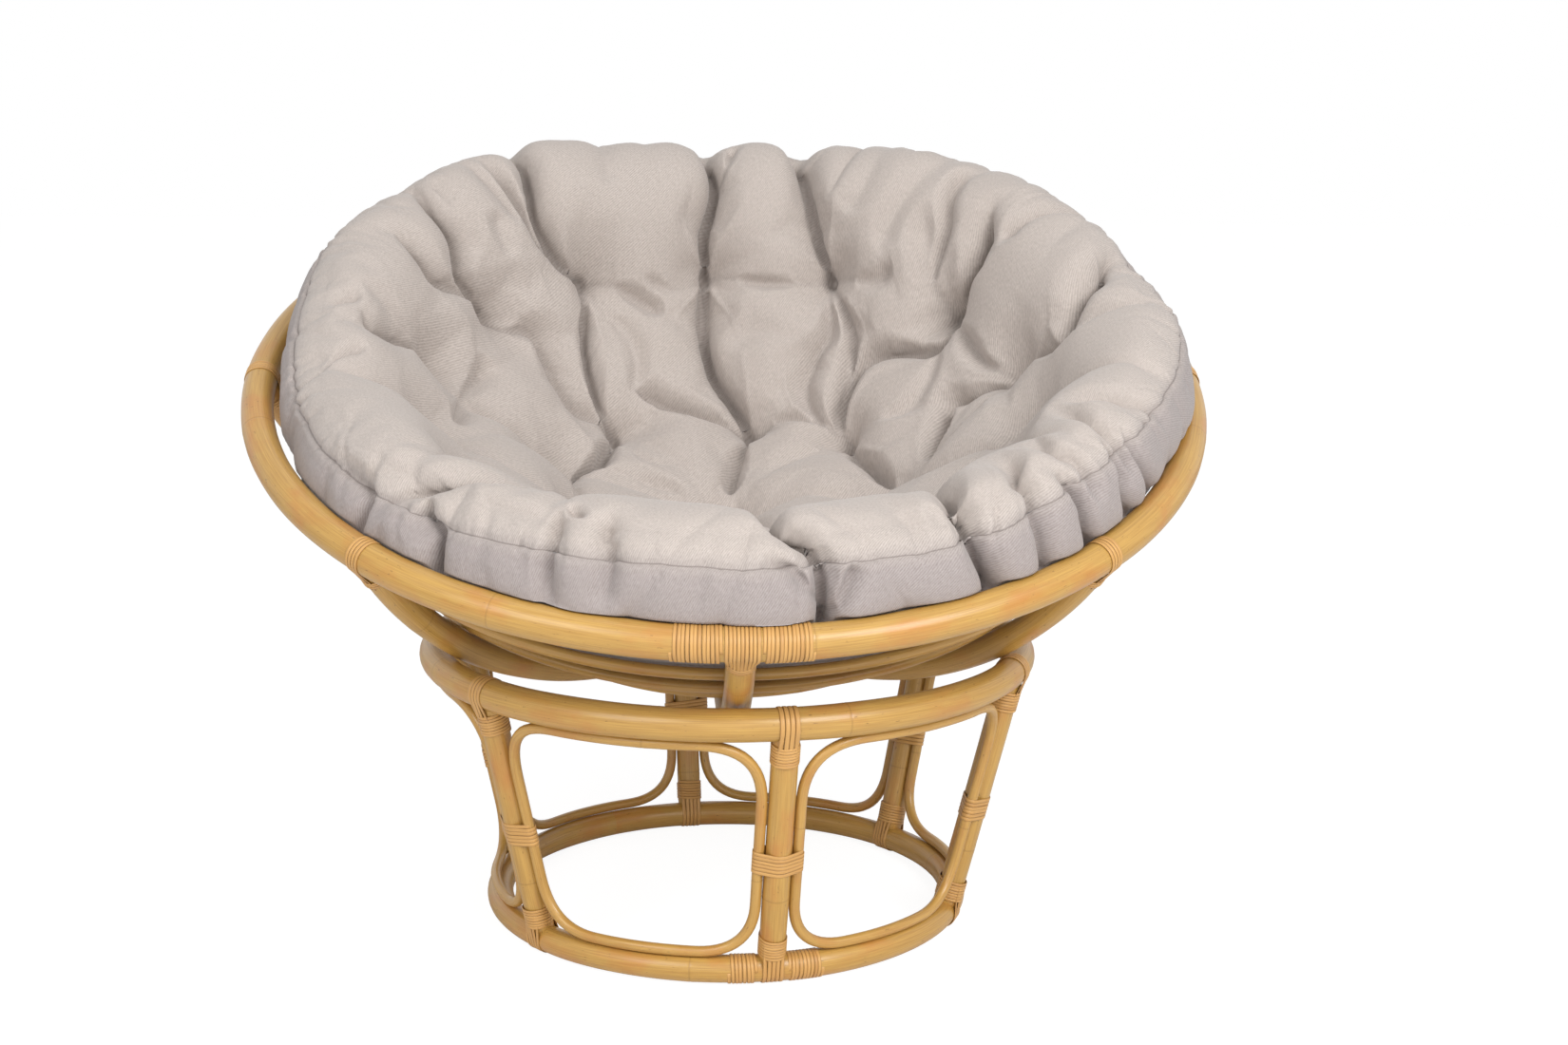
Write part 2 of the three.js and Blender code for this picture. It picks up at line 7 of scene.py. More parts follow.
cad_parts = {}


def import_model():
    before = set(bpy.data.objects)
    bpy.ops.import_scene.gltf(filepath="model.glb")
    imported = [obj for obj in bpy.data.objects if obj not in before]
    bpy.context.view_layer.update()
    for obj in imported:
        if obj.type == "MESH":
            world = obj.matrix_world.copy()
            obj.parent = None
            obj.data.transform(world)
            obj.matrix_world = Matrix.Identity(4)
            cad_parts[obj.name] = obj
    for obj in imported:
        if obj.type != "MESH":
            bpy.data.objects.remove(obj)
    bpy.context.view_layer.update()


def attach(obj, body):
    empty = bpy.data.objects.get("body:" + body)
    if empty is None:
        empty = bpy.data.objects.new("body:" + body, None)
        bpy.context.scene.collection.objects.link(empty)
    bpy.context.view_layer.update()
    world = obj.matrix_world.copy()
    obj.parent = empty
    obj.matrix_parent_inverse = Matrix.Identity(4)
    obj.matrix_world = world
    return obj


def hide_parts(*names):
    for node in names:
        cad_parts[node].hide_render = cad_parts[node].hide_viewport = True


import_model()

# Papasan chair: rattan poles and cane bindings round a tufted twill cushion.
# Lengths are in millimetres until a mesh is made, and an azimuth is turned from the front towards +X.

METRE = 1000.0

# The chair's frame: the base's axis, the middle of the bowl's sphere and the bowl's tilt
BASE_AXIS_Y = -89.516
BOWL_CENTRE_Z = 827.887
BOWL_TILT = math.radians(20.9)
BASE_TURN = 8.5

# Base poles: radius of the circle, radius of the pole and height of each ring
TOP_RING = {"radius": 330.3, "pole": 17.2, "height": 301.3}
BOTTOM_RING = {"radius": 261.0, "pole": 14.6, "height": 15.8}
POST_POLE = 14.2
POSTS = 6
LOOP_POLE = 5.9
LOOP_CORNERS = (70.0, 60.0)

# Bowl poles
RIM = {"radius": 530.6, "pole": 18.1, "height": -251.0}
RIB_SPHERE = 587.0
RIB_POLE = 15.2
RIBS = 8
HOOP_POLE = 6.6
HOOP_REACH = 564.05
HOOP_ANGLES = (51.5, 45.5, 31.0, 17.0)
HUB_RADIUS = 44.5
HUB_THICKNESS = 26.0
HUB_EDGE = ((0.5, 0.0), (30.0, 0.0), (40.5, 0.0), (43.2, 1.0), (44.2, 3.4))
HUB_SIDES = 48

# Cane strip: width and thickness as it is split from the vine
CANE_THICKNESS = 1.0
STRAND_SECTION = np.array([
    (-0.50, 0.10), (-0.47, 0.55), (-0.30, 0.92), (0.0, 1.0),
    (0.30, 0.92), (0.47, 0.55), (0.50, 0.10), (0.36, -0.12), (-0.36, -0.12),
])

# Knuckles of a pole: stations beside each, the low ridge round it and the groove in the ridge
KNUCKLE_STATIONS = (-5.0, -2.2, -0.9, 0.0, 0.9, 2.2, 5.0)
KNUCKLE_SPACE = 2.0
KNUCKLE_RIDGE = 0.25
KNUCKLE_RIDGE_WIDTH = 4.5
KNUCKLE_GROOVE_WIDTH = 1.0
KNUCKLE_END_SPACE = 8.0
FIRST_KNUCKLE = 150.0

# Unevenness of a pole: its share of the radius, and the lengths over which it swells and turns oval
UNEVENNESS = 0.012
LONG_SWELL = 61.0
SHORT_SWELL = 23.0
OVAL_SWELL = 150.0

# The grain of each pole and each strand starts anywhere along these lengths
POLE_RUNS = 4000.0
STRAND_RUNS = 3000.0

chance = np.random.RandomState(7)


# Vectors, places and paths

def unit(vectors):
    return vectors / np.linalg.norm(vectors, axis=-1, keepdims=True)


def bell(distance, width):
    """A smooth hump, 1 in the middle and almost 0 at twice its width."""
    return np.exp(-(distance / width) ** 2)


def ramp(value, whole):
    """How much of a whole a value reaches, from 0 to 1."""
    return np.clip(value / whole, 0.0, 1.0)


def run_along(points):
    """Distance along a path to each of its points."""
    return np.concatenate([[0.0], np.cumsum(np.linalg.norm(np.diff(points, axis=0), axis=1))])


def points_at(distance, along, points):
    """Points of a path at the given distances along it."""
    return np.stack([np.interp(distance, along, points[:, k]) for k in range(points.shape[1])], axis=-1)


def extended(points):
    """The points with one more at each end, in line with the last two there."""
    return np.concatenate([2 * points[:1] - points[1:2], points, 2 * points[-1:] - points[-2:-1]])


def smooth_run(a, b, c, d, t):
    """Points between b and c on a smooth curve through four places."""
    return 0.5 * (2 * b + (c - a) * t + (2 * a - 5 * b + 4 * c - d) * t ** 2
                  + (3 * b - a - 3 * c + d) * t ** 3)


def around(radius, azimuth, height):
    """Points on circles about the upright axis, from radii, azimuths in radians and heights."""
    radius, azimuth, height = np.broadcast_arrays(radius, azimuth, height)
    return np.stack([radius * np.sin(azimuth), -radius * np.cos(azimuth), height], axis=-1)


def tip(points, angle):
    """Turns points about the sideways axis."""
    x, y, z = points[..., 0], points[..., 1], points[..., 2]
    turn, rise = math.cos(angle), math.sin(angle)
    return np.stack([x, turn * y - rise * z, rise * y + turn * z], axis=-1)


def in_base(points):
    return points + np.array([0.0, BASE_AXIS_Y, 0.0])


def in_bowl(points):
    return tip(points, BOWL_TILT) + np.array([0.0, BASE_AXIS_Y, BOWL_CENTRE_Z])


def out_of_bowl(points):
    return tip(points - np.array([0.0, BASE_AXIS_Y, BOWL_CENTRE_Z]), -BOWL_TILT)


def place_direction(place, directions):
    return place(directions) - place(np.zeros(3))


def side_directions(azimuth, down, outward):
    """Directions aside of a pole and across it to its outer side."""
    aside = np.array([math.cos(azimuth), math.sin(azimuth), 0.0])
    across = np.cross(aside, down)
    return aside, (-across if across @ outward < 0.0 else across)


def linked(name, data):
    """A new object in the scene."""
    item = bpy.data.objects.new(name, data)
    bpy.context.scene.collection.objects.link(item)
    return item


# Swept poles and strands

class Body:
    """Gathers the swept parts of one piece, with each corner's place along and across its pole."""

    def __init__(self):
        self.points = []
        self.faces = []
        self.places = []
        self.scars = []
        self.count = 0

    def add(self, points, faces, places, scars):
        self.points.append(points)
        self.faces.extend([tuple(k + self.count for k in face) for face in faces])
        self.places.append(places)
        self.scars.append(scars)
        self.count += len(points)

    def make(self, name, body, material):
        """The piece that stands for the CAD node of the same name."""
        mesh = bpy.data.meshes.new(name)
        points = np.concatenate(self.points) / METRE
        mesh.from_pydata(points.tolist(), [], self.faces)
        place = mesh.attributes.new("place", "FLOAT_VECTOR", "CORNER")
        place.data.foreach_set("vector", np.concatenate(self.places).ravel())
        scar = mesh.attributes.new("scar", "FLOAT", "CORNER")
        scar.data.foreach_set("value", np.concatenate(self.scars).ravel())
        mesh.shade_smooth()
        mesh.materials.append(material)
        piece = linked(name, mesh)
        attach(piece, body)
        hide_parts(name)


def sweep(body, points, outs, section, closed=False, scars=None, offset=0.0):
    """Sweeps a section of (aside, outward) points along a path whose outward side is given."""
    count = len(points)
    if closed:
        ahead, behind = np.roll(points, -1, axis=0), np.roll(points, 1, axis=0)
    else:
        ahead = np.concatenate([points[1:], points[-1:]])
        behind = np.concatenate([points[:1], points[:-1]])
    tangents = unit(ahead - behind)
    asides = unit(np.cross(tangents, outs))
    ups = np.cross(asides, tangents)
    if section.ndim == 2:
        section = np.broadcast_to(section, (count,) + section.shape)
    size = section.shape[1]
    vertices = (points[:, None, :] + section[..., :1] * asides[:, None, :]
                + section[..., 1:] * ups[:, None, :])
    steps = np.linalg.norm(np.diff(points, axis=0, append=points[:1]), axis=1)
    along = np.concatenate([[0.0], np.cumsum(steps)]) + offset
    if scars is None:
        scars = np.full(count + 1, METRE)
    elif len(scars) == count:
        scars = np.append(scars, scars[0])
    faces, places, marks = [], [], []
    spans = count if closed else count - 1
    for i in range(spans):
        k = (i + 1) % count
        for j in range(size):
            n = (j + 1) % size
            faces.append((i * size + j, i * size + n, k * size + n, k * size + j))
            for station, corner, at in ((i, j, i), (i, n, i), (k, n, i + 1), (k, j, i + 1)):
                aside, out = section[station, corner]
                places.append((along[at], aside, out))
                marks.append(scars[at])
    if not closed:
        for station, order in ((0, range(size - 1, -1, -1)), (count - 1, range(size))):
            faces.append(tuple(station * size + j for j in order))
            for j in order:
                places.append((along[station], *section[station, j]))
                marks.append(scars[station])
    corners = vertices.reshape(-1, 3)
    body.add(corners, faces, np.array(places), np.array(marks))


def stations(length, step, knuckles, closed=False):
    """Distances along a pole, close together at its knuckles, and each one's distance to a knuckle."""
    count = max(int(round(length / step)), 2)
    even = np.linspace(0.0, length, count + 1)
    if closed:
        even = even[:-1]
    near = [k + d for k in knuckles for d in KNUCKLE_STATIONS]
    near = [s for s in near if 0.0 < s < length]
    keep = [s for s in even if all(abs(s - n) > KNUCKLE_SPACE for n in near)]
    places = np.array(sorted(keep + near))
    if knuckles:
        marks = np.min(np.abs(places[:, None] - np.array(knuckles)[None, :]), axis=1)
    else:
        marks = np.full(len(places), METRE)
    return places, marks


def knuckles_along(length, spacing, first):
    """Uneven places of the knuckles from the first one on."""
    places = []
    at = first
    while at < length - KNUCKLE_END_SPACE:
        places.append(at)
        at += spacing * chance.uniform(0.75, 1.5)
    return places


def pole_section(radius, marks, along, sides):
    """A round section at each station: a little uneven, with a low ridge and groove at a knuckle."""
    phase = chance.uniform(0.0, 2.0 * math.pi, 4)
    swell = np.sin(along / LONG_SWELL + phase[0]) + 0.6 * np.sin(along / SHORT_SWELL + phase[1])
    ridge = KNUCKLE_RIDGE * (bell(marks, KNUCKLE_RIDGE_WIDTH) - bell(marks, KNUCKLE_GROOVE_WIDTH))
    radii = radius * (1.0 + UNEVENNESS * swell) + ridge
    angles = np.arange(sides) * 2.0 * math.pi / sides
    oval = 1.0 + UNEVENNESS * np.cos(2.0 * angles[None, :] + along[:, None] / OVAL_SWELL + phase[2])
    reach = radii[:, None] * oval
    return np.stack([reach * np.cos(angles), reach * np.sin(angles)], axis=-1)


def pole_piece(name, body, material, path, length, radius, step, sides, knuckles, closed=False):
    """The piece of one pole along a path, with its stations a step apart."""
    along, marks = stations(length, step, knuckles, closed)
    points, outs = path(along)
    section = pole_section(radius, marks, along, sides)
    made = Body()
    sweep(made, points, outs, section, closed, marks, chance.uniform(0.0, POLE_RUNS))
    made.make(name, body, material)


def ring_piece(name, body, material, place, ring, start, step, sides, spacing):
    """One pole bent into a circle round the base's or the bowl's axis."""
    radius = ring["radius"]
    length = 2.0 * math.pi * radius

    def path(along):
        azimuth = start + along / radius
        points = place(around(radius, azimuth, ring["height"]))
        return points, place_direction(place, around(1.0, azimuth, 0.0))

    knuckles = knuckles_along(length, spacing, FIRST_KNUCKLE)
    pole_piece(name, body, material, path, length, ring["pole"], step, sides, knuckles, closed=True)


# Colours and materials

def colour(code):
    """Linear red, green, blue and alpha of an sRGB hex colour."""
    parts = [int(code[k:k + 2], 16) / 255.0 for k in (1, 3, 5)]
    linear = [p / 12.92 if p <= 0.04045 else ((p + 0.055) / 1.055) ** 2.4 for p in parts]
    return (*linear, 1.0)


def add(tree, kind, inputs=None, **settings):
    """Adds a node with its settings, and sets or links its inputs."""
    item = tree.nodes.new(kind)
    for name, value in settings.items():
        setattr(item, name, value)
    for name, value in (inputs or {}).items():
        if isinstance(value, bpy.types.NodeSocket):
            tree.links.new(value, item.inputs[name])
        else:
            item.inputs[name].default_value = value
    return item


def new_material(name):
    material = bpy.data.materials.new(name)
    material.use_nodes = True
    tree = material.node_tree
    tree.nodes.clear()
    return material, tree


def finish_material(tree, surface):
    output = add(tree, "ShaderNodeOutputMaterial")
    tree.links.new(surface, output.inputs["Surface"])


def attribute(tree, name, output):
    return add(tree, "ShaderNodeAttribute", attribute_name=name).outputs[output]


def combined(tree, operation, *values):
    """One number worked out from others."""
    return add(tree, "ShaderNodeMath", dict(enumerate(values)), operation=operation).outputs[0]


def ranged(tree, value, low, high, least=0.0, most=1.0):
    """A number moved from one range to another and kept inside it."""
    return add(tree, "ShaderNodeMapRange", {
        "Value": value, "From Min": low, "From Max": high, "To Min": least, "To Max": most,
    }).outputs["Result"]


def mixed(tree, share, below, above, kind="MIX"):
    """One colour laid over another by a share."""
    return add(tree, "ShaderNodeMix", {
        "Factor": share, "A": below, "B": above,
    }, data_type="RGBA", blend_type=kind).outputs["Result"]


def grain(tree, place, sizes, detail, roughness=0.5):
    """Noise whose grains have the given sizes in millimetres along and across a piece."""
    scaled = add(tree, "ShaderNodeVectorMath", {
        0: place, 1: tuple(1.0 / size for size in sizes),
    }, operation="MULTIPLY").outputs[0]
    return add(tree, "ShaderNodeTexNoise", {
        "Vector": scaled, "Scale": 1.0, "Detail": detail, "Roughness": roughness,
    }).outputs["Fac"]


def bumped(tree, height, strength, distance):
    return add(tree, "ShaderNodeBump", {
        "Height": height, "Strength": strength, "Distance": distance,
    }).outputs["Normal"]


# Peeled rattan pole, steam-bent and clear-lacquered: honey yellow with long fibres, burnt-orange
# patches from the steaming, small dark flecks and a thin dark line at each knuckle. Sizes are along
# the pole and twice across it.
RATTAN_FIBRE = (60.0, 1.3, 1.3)
RATTAN_PATCH = (68.0, 34.0, 34.0)
RATTAN_FLECK = (2.6 / 0.35, 2.6, 2.6)


def rattan_pole(name, light, deep, burnt, dark):
    material, tree = new_material(name)
    place = attribute(tree, "place", "Vector")
    scar = attribute(tree, "scar", "Fac")
    fibre = grain(tree, place, RATTAN_FIBRE, 3.0, 0.6)
    patch = grain(tree, place, RATTAN_PATCH, 4.0, 0.55)
    fleck = grain(tree, place, RATTAN_FLECK, 2.0)
    ground = mixed(tree, ranged(tree, fibre, 0.34, 0.7), colour(light), colour(deep))
    steamed = mixed(tree, ranged(tree, patch, 0.5, 0.74, most=0.7), ground, colour(burnt))
    flecked = mixed(tree, ranged(tree, fleck, 0.68, 0.76, most=0.55), steamed, colour(dark))
    knuckle = mixed(tree, ranged(tree, scar, 0.4, 1.4, 0.22, 0.0), flecked, colour(dark))
    surface = add(tree, "ShaderNodeBsdfPrincipled", {
        "Base Color": knuckle, "Roughness": 0.38, "Normal": bumped(tree, fibre, 0.12, 0.0006),
        "Coat Weight": 0.2, "Coat Roughness": 0.2,
    }).outputs["BSDF"]
    finish_material(tree, surface)
    return material


# Cane strip split from the vine's bark: pale straw with fine straight fibres, duller than the poles,
# with painted shade towards its two edges, where turns meet, so that each turn of a binding reads by itself.
CANE_FIBRE = (45.0, 0.8, 0.8)
CANE_TONE = (70.0, 9.0, 9.0)


def cane_strip(name, light, deep, dark, gap_shade):
    material, tree = new_material(name)
    place = attribute(tree, "place", "Vector")
    fibre = grain(tree, place, CANE_FIBRE, 3.0, 0.6)
    tone = grain(tree, place, CANE_TONE, 2.0)
    ground = mixed(tree, ranged(tree, fibre, 0.3, 0.75), colour(light), colour(deep))
    toned = mixed(tree, ranged(tree, tone, 0.5, 0.8, most=0.6), ground, colour(dark))
    # painted shade: darker towards the strip's edges and underside, where one turn lies against the next
    rise = add(tree, "ShaderNodeSeparateXYZ", {"Vector": place}).outputs["Z"]
    edge_shaded = mixed(tree, ranged(tree, rise, 0.45, 0.9, 0.5, 0.0), toned, colour(gap_shade))
    surface = add(tree, "ShaderNodeBsdfPrincipled", {
        "Base Color": edge_shaded, "Roughness": 0.46, "Normal": bumped(tree, fibre, 0.25, 0.0005),
        "Coat Weight": 0.1, "Coat Roughness": 0.3,
    }).outputs["BSDF"]
    finish_material(tree, surface)
    return material


# Polyester twill, woven from heathered yarn: matt warm grey with short diagonal ribs, pale flecks on
# them and a soft fuzz. The ribs of the real cloth are drawn coarser, 2.4 mm apart, so that they show.
# Shade is painted into its colour: a cool painted shade past the seam on the boxed side and underside,
# and painted shade where a fold closes on itself and in the seam's stitch line.
TWILL_RIB = 2.4
TWILL_FLECK = (2.2, 2.2 / 0.45, 2.2)
TWILL_TURN = math.radians(38.0)
RIB_SCALE = 0.314159
SEAM_BLEND = 14.0


def polyester_twill(name, light, deep, shade, side):
    material, tree = new_material(name)
    place = attribute(tree, "cloth", "Vector")
    turned = add(tree, "ShaderNodeMapping", {
        "Vector": place, "Rotation": (0.0, 0.0, TWILL_TURN),
    }).outputs["Vector"]
    rib = add(tree, "ShaderNodeTexWave", {
        "Vector": turned, "Scale": RIB_SCALE / TWILL_RIB, "Distortion": 1.6,
        "Detail": 1.0, "Detail Scale": 3.0,
    }).outputs["Fac"]
    fleck = grain(tree, turned, TWILL_FLECK, 2.0, 0.7)
    weave = combined(tree, "ADD", combined(tree, "MULTIPLY", rib, 0.4), fleck)
    ground = mixed(tree, ranged(tree, weave, 0.22, 1.18), colour(deep), colour(light))
    flat = add(tree, "ShaderNodeVectorMath", {0: place, 1: (1.0, 1.0, 0.0)}, operation="MULTIPLY")
    middle = add(tree, "ShaderNodeVectorMath", {0: flat.outputs[0]}, operation="LENGTH")
    from_middle = middle.outputs["Value"]
    from_seam = combined(tree, "ABSOLUTE", combined(tree, "SUBTRACT", from_middle, SEAM_ALONG))
    # painted shadow: a thin dark line along the seam, where the stitched groove is shaded
    stitch_shaded = mixed(tree, ranged(tree, from_seam, 0.4, 1.5, 0.55, 0.0), ground, colour(shade))
    # painted shade: the boxed side past the seam and the underside, which face down, are multiplied by a
    # cool grey
    past_seam = ranged(tree, from_middle, SEAM_ALONG - SEAM_BLEND, SEAM_ALONG + SEAM_BLEND)
    under = add(tree, "ShaderNodeSeparateXYZ", {"Vector": place}).outputs["Z"]
    side_shade_share = combined(tree, "MAXIMUM", past_seam, under)
    side_shaded = mixed(tree, side_shade_share, stitch_shaded, colour(side), "MULTIPLY")
    # painted shade: the cover is darkened where a fold closes on itself, where light hardly reaches
    painted_fold_shade = combined(tree, "MULTIPLY", attribute(tree, "painted_fold_shade", "Fac"), 0.62)
    fold_shaded = mixed(tree, painted_fold_shade, side_shaded, colour(shade))
    surface = add(tree, "ShaderNodeBsdfPrincipled", {
        "Base Color": fold_shaded, "Roughness": 0.92, "Normal": bumped(tree, weave, 0.4, 0.0009),
        "Specular IOR Level": 0.25, "Sheen Weight": 0.22, "Sheen Roughness": 0.5,
    }).outputs["BSDF"]
    finish_material(tree, surface)
    return material


rattan = rattan_pole("peeled lacquered rattan", "#C1984E", "#AA803E", "#B87636", "#64431E")
thin_rattan = rattan_pole("thin lacquered rattan rod", "#C29950", "#AD8140", "#B37638", "#654520")
cane = cane_strip("split cane strip", "#D0A25E", "#B58447", "#A06D3B", "#70491F")
turned_wood = rattan_pole("turned lacquered wood", "#B88A4A", "#A2733B", "#966433", "#5A3B1D")


# Base

RING_JOINT = math.radians(212.0)
RING_KNUCKLES = 380.0
LOOP_KNUCKLES = 520.0
FIRST_LOOP_KNUCKLE = 200.0
POST_KNUCKLE = (195.0, 235.0)
POST_END_SPACE = 8.0
LOOP_RING_GAP = 0.4
LOOP_BESIDE = POST_POLE + LOOP_POLE + 0.6


def post_line(azimuth):
    top = in_base(around(TOP_RING["radius"], azimuth, TOP_RING["height"]))
    foot = in_base(around(BOTTOM_RING["radius"], azimuth, BOTTOM_RING["height"]))
    return top, foot


POST_LENGTH = math.hypot(TOP_RING["radius"] - BOTTOM_RING["radius"],
                         TOP_RING["height"] - BOTTOM_RING["height"])
POST_SLOPE = (TOP_RING["radius"] - BOTTOM_RING["radius"]) / POST_LENGTH


def base_post(index, azimuth):
    top, foot = post_line(azimuth)
    down = unit(foot - top)

    def path(along):
        points = top + (along + POST_END_SPACE)[:, None] * down
        outs = np.broadcast_to(around(1.0, azimuth, 0.0), points.shape)
        return points, outs

    length = POST_LENGTH - 2.0 * POST_END_SPACE
    knuckles = [chance.uniform(*POST_KNUCKLE)]
    pole_piece(f"base_post_{index}", "base", rattan, path, length, POST_POLE, 9.0, 22, knuckles)


def rounded_outline(corners):
    """A closed outline of straight runs and quadratic corners, and the distance along it."""
    points = []
    total = len(corners)
    for index in range(total):
        corner, reach = corners[index]
        before, after = corners[index - 1][0], corners[(index + 1) % total][0]
        start = corner + unit(before - corner) * reach
        end = corner + unit(after - corner) * reach
        for t in np.linspace(0.0, 1.0, 24):
            points.append((1 - t) ** 2 * start + 2 * t * (1 - t) * corner + t * t * end)
    points = np.array(points)
    closed = np.concatenate([points, points[:1]])
    return closed, run_along(closed)


def bay_loop(index, azimuth):
    upper = TOP_RING["pole"] + LOOP_POLE + LOOP_RING_GAP
    lower = POST_LENGTH - BOTTOM_RING["pole"] - LOOP_POLE - LOOP_RING_GAP

    def half(distance):
        return (TOP_RING["radius"] - POST_SLOPE * distance) * math.pi / POSTS - LOOP_BESIDE

    ends = list(zip((upper, lower), LOOP_CORNERS))
    closed, run = rounded_outline([
        (np.array([side * half(distance), distance]), corner)
        for side, pair in ((1.0, ends), (-1.0, ends[::-1])) for distance, corner in pair
    ])
    rise = (TOP_RING["height"] - BOTTOM_RING["height"]) / POST_LENGTH

    def path(along):
        outline = points_at(along, run, closed)
        radius = TOP_RING["radius"] - POST_SLOPE * outline[:, 1]
        height = TOP_RING["height"] - rise * outline[:, 1]
        turn = azimuth + outline[:, 0] / radius
        points = in_base(around(radius, turn, height))
        outs = unit(around(rise, turn, -POST_SLOPE))
        return points, outs

    knuckles = knuckles_along(run[-1], LOOP_KNUCKLES, FIRST_LOOP_KNUCKLE)
    pole_piece(f"bay_loop_{index}", "base", thin_rattan, path, run[-1], LOOP_POLE, 7.0, 14, knuckles,
               closed=True)


# Cane bindings: each strand lies a little off its pole, its ends are tucked under, and the collars
# of turns lie over the legs of the straps

STRAND_LIFT = 0.15
STRAND_TUCK = 1.1 * CANE_THICKNESS
STRAP_BESIDE = 8.0
STRAP_LEG = 12.0
COLLAR = {"turns": 7.0, "pitch": 3.3, "width": 3.3}
RIM_STRAP_BESIDE = 9.0
RIM_STRAP_LEG = 9.0
RIM_COLLAR = {"turns": 3.0, "pitch": 3.0, "width": 2.9}
COLLAR_OVER_STRAP = 0.9
MIDDLE_BINDING = {"turns": 6.0, "pitch": 4.3, "width": 4.3}
MIDDLE_SHARE = 0.55
WINDING_PITCH = 3.95
WINDING_WIDTH = 3.8

# Number of strands of a strap, their width together, and the share of it beside the pole
TOP_STRAP = (4, 21.0, 1.0)
FOOT_STRAP = (5, 23.0, 1.0)
RIM_STRAP = (4, 18.0, 1.0)
FRONT_STRAP = (9, 35.0, 0.8)


def tucked(steps, taper):
    """How high a strand lies over its pole at each step, with both ends tucked under."""
    step = np.arange(steps + 1)
    inward = np.minimum(step, steps - step) / taper
    return STRAND_LIFT - STRAND_TUCK * np.clip(1.0 - inward, 0.0, 1.0)


def strand_section(width, thickness=CANE_THICKNESS):
    return STRAND_SECTION * np.array([width, thickness])


def strap_path(ring_pole, pole, aside, collar_start, collar_end):
    """One strand over a ring and down both sides of the pole below it, in the plane (along, across)."""
    loop = ring_pole + STRAND_LIFT
    side = math.sqrt(max(pole ** 2 - aside ** 2, 9.0)) + STRAND_LIFT
    far = math.hypot(collar_start, side)
    lean = math.atan2(side, collar_start) + math.acos(min(loop / far, 1.0))
    arc = np.linspace(-lean, -2.0 * math.pi + lean, 33)
    points = [(collar_end, -side), (0.5 * (collar_start + collar_end), -side), (collar_start, -side)]
    points += [(loop * math.cos(a), loop * math.sin(a)) for a in arc]
    points += [(collar_start, side), (0.5 * (collar_start + collar_end), side), (collar_end, side)]
    return np.array(points)


def add_strap(body, place, centre, directions, ring_pole, pole, strap, collar_start, collar_end):
    """Parallel strands of cane over a ring, laid down both sides of a pole."""
    down, aside_direction, across = directions
    count, width, narrow = strap
    pitch = width / count
    for k in range(count):
        aside = (k - 0.5 * (count - 1)) * pitch
        plane = strap_path(ring_pole, pole, aside * narrow, collar_start, collar_end)
        dense = resample(plane, 2.4)
        outs = path_outs(dense)
        share = np.clip(dense[:, 0] / collar_start, 0.0, 1.0)
        shift = aside * (1.0 + (narrow - 1.0) * share) + chance.uniform(-0.15, 0.15)
        points = (centre + dense[:, :1] * down + dense[:, 1:] * across
                  + shift[:, None] * aside_direction)
        outward = outs[:, :1] * down + outs[:, 1:] * across
        section = strand_section(pitch * 0.95, CANE_THICKNESS * chance.uniform(0.9, 1.12))
        sweep(body, place(points), place_direction(place, outward), section,
              offset=chance.uniform(0.0, STRAND_RUNS))


def resample(points, step):
    along = run_along(points)
    count = max(int(along[-1] / step), 4)
    return points_at(np.linspace(0.0, along[-1], count), along, points)


def path_outs(plane):
    """Outward sides of a plane path that bends round the origin."""
    tangents = unit(np.gradient(plane, axis=0))
    normals = np.stack([-tangents[:, 1], tangents[:, 0]], axis=-1)
    facing = np.sum(normals * plane, axis=1)
    middle = len(plane) // 2
    return normals * math.copysign(1.0, facing[middle])


def add_coil(body, place, centre, directions, outline, turns, pitch, width, slant=0.0):
    """One strand wound in a helix round an outline, with both ends tucked under."""
    axis, first, second = directions
    steps = int(turns * 36)
    spin = np.linspace(0.0, turns * 2.0 * math.pi, steps + 1)
    around_pole, outward = outline(spin)
    flat = around_pole + outward * tucked(steps, 5.0)[:, None]
    level = spin / (2.0 * math.pi) * pitch + slant * around_pole[:, 0]
    level += 0.12 * np.sin(spin * 0.37 + chance.uniform(0.0, 6.0))
    points = centre + level[:, None] * axis + flat[:, :1] * first + flat[:, 1:] * second
    outs = outward[:, :1] * first + outward[:, 1:] * second
    sweep(body, place(points), place_direction(place, outs), strand_section(width),
          offset=chance.uniform(0.0, STRAND_RUNS))


def round_outline(radius, flat_sides=0.0):
    """A circle that stands out a little where the strap's legs lie under it."""
    def outline(spin):
        over = flat_sides * np.clip((np.abs(np.sin(spin)) - 0.45) / 0.25, 0.0, 1.0)
        reach = radius + over
        outward = np.stack([np.cos(spin), np.sin(spin)], axis=-1)
        return reach[:, None] * outward, outward
    return outline


def hull_outline(circles):
    """The taut line round several circles, from (x, y, radius) of each."""
    angles = np.linspace(0.0, 2.0 * math.pi, 361)
    outward = np.stack([np.cos(angles), np.sin(angles)], axis=-1)
    support = np.max([outward @ np.array([x, y]) + r for x, y, r in circles], axis=0)
    slope = np.gradient(support, angles)
    tangent = np.stack([-np.sin(angles), np.cos(angles)], axis=-1)
    points = support[:, None] * outward + slope[:, None] * tangent
    closed = np.concatenate([points, points[:1]])
    along = run_along(closed)
    facing = np.concatenate([outward, outward[:1]])

    def outline(spin):
        at = (spin / (2.0 * math.pi)) % 1.0 * along[-1]
        return points_at(at, along, closed), unit(points_at(at, along, facing))
    return outline


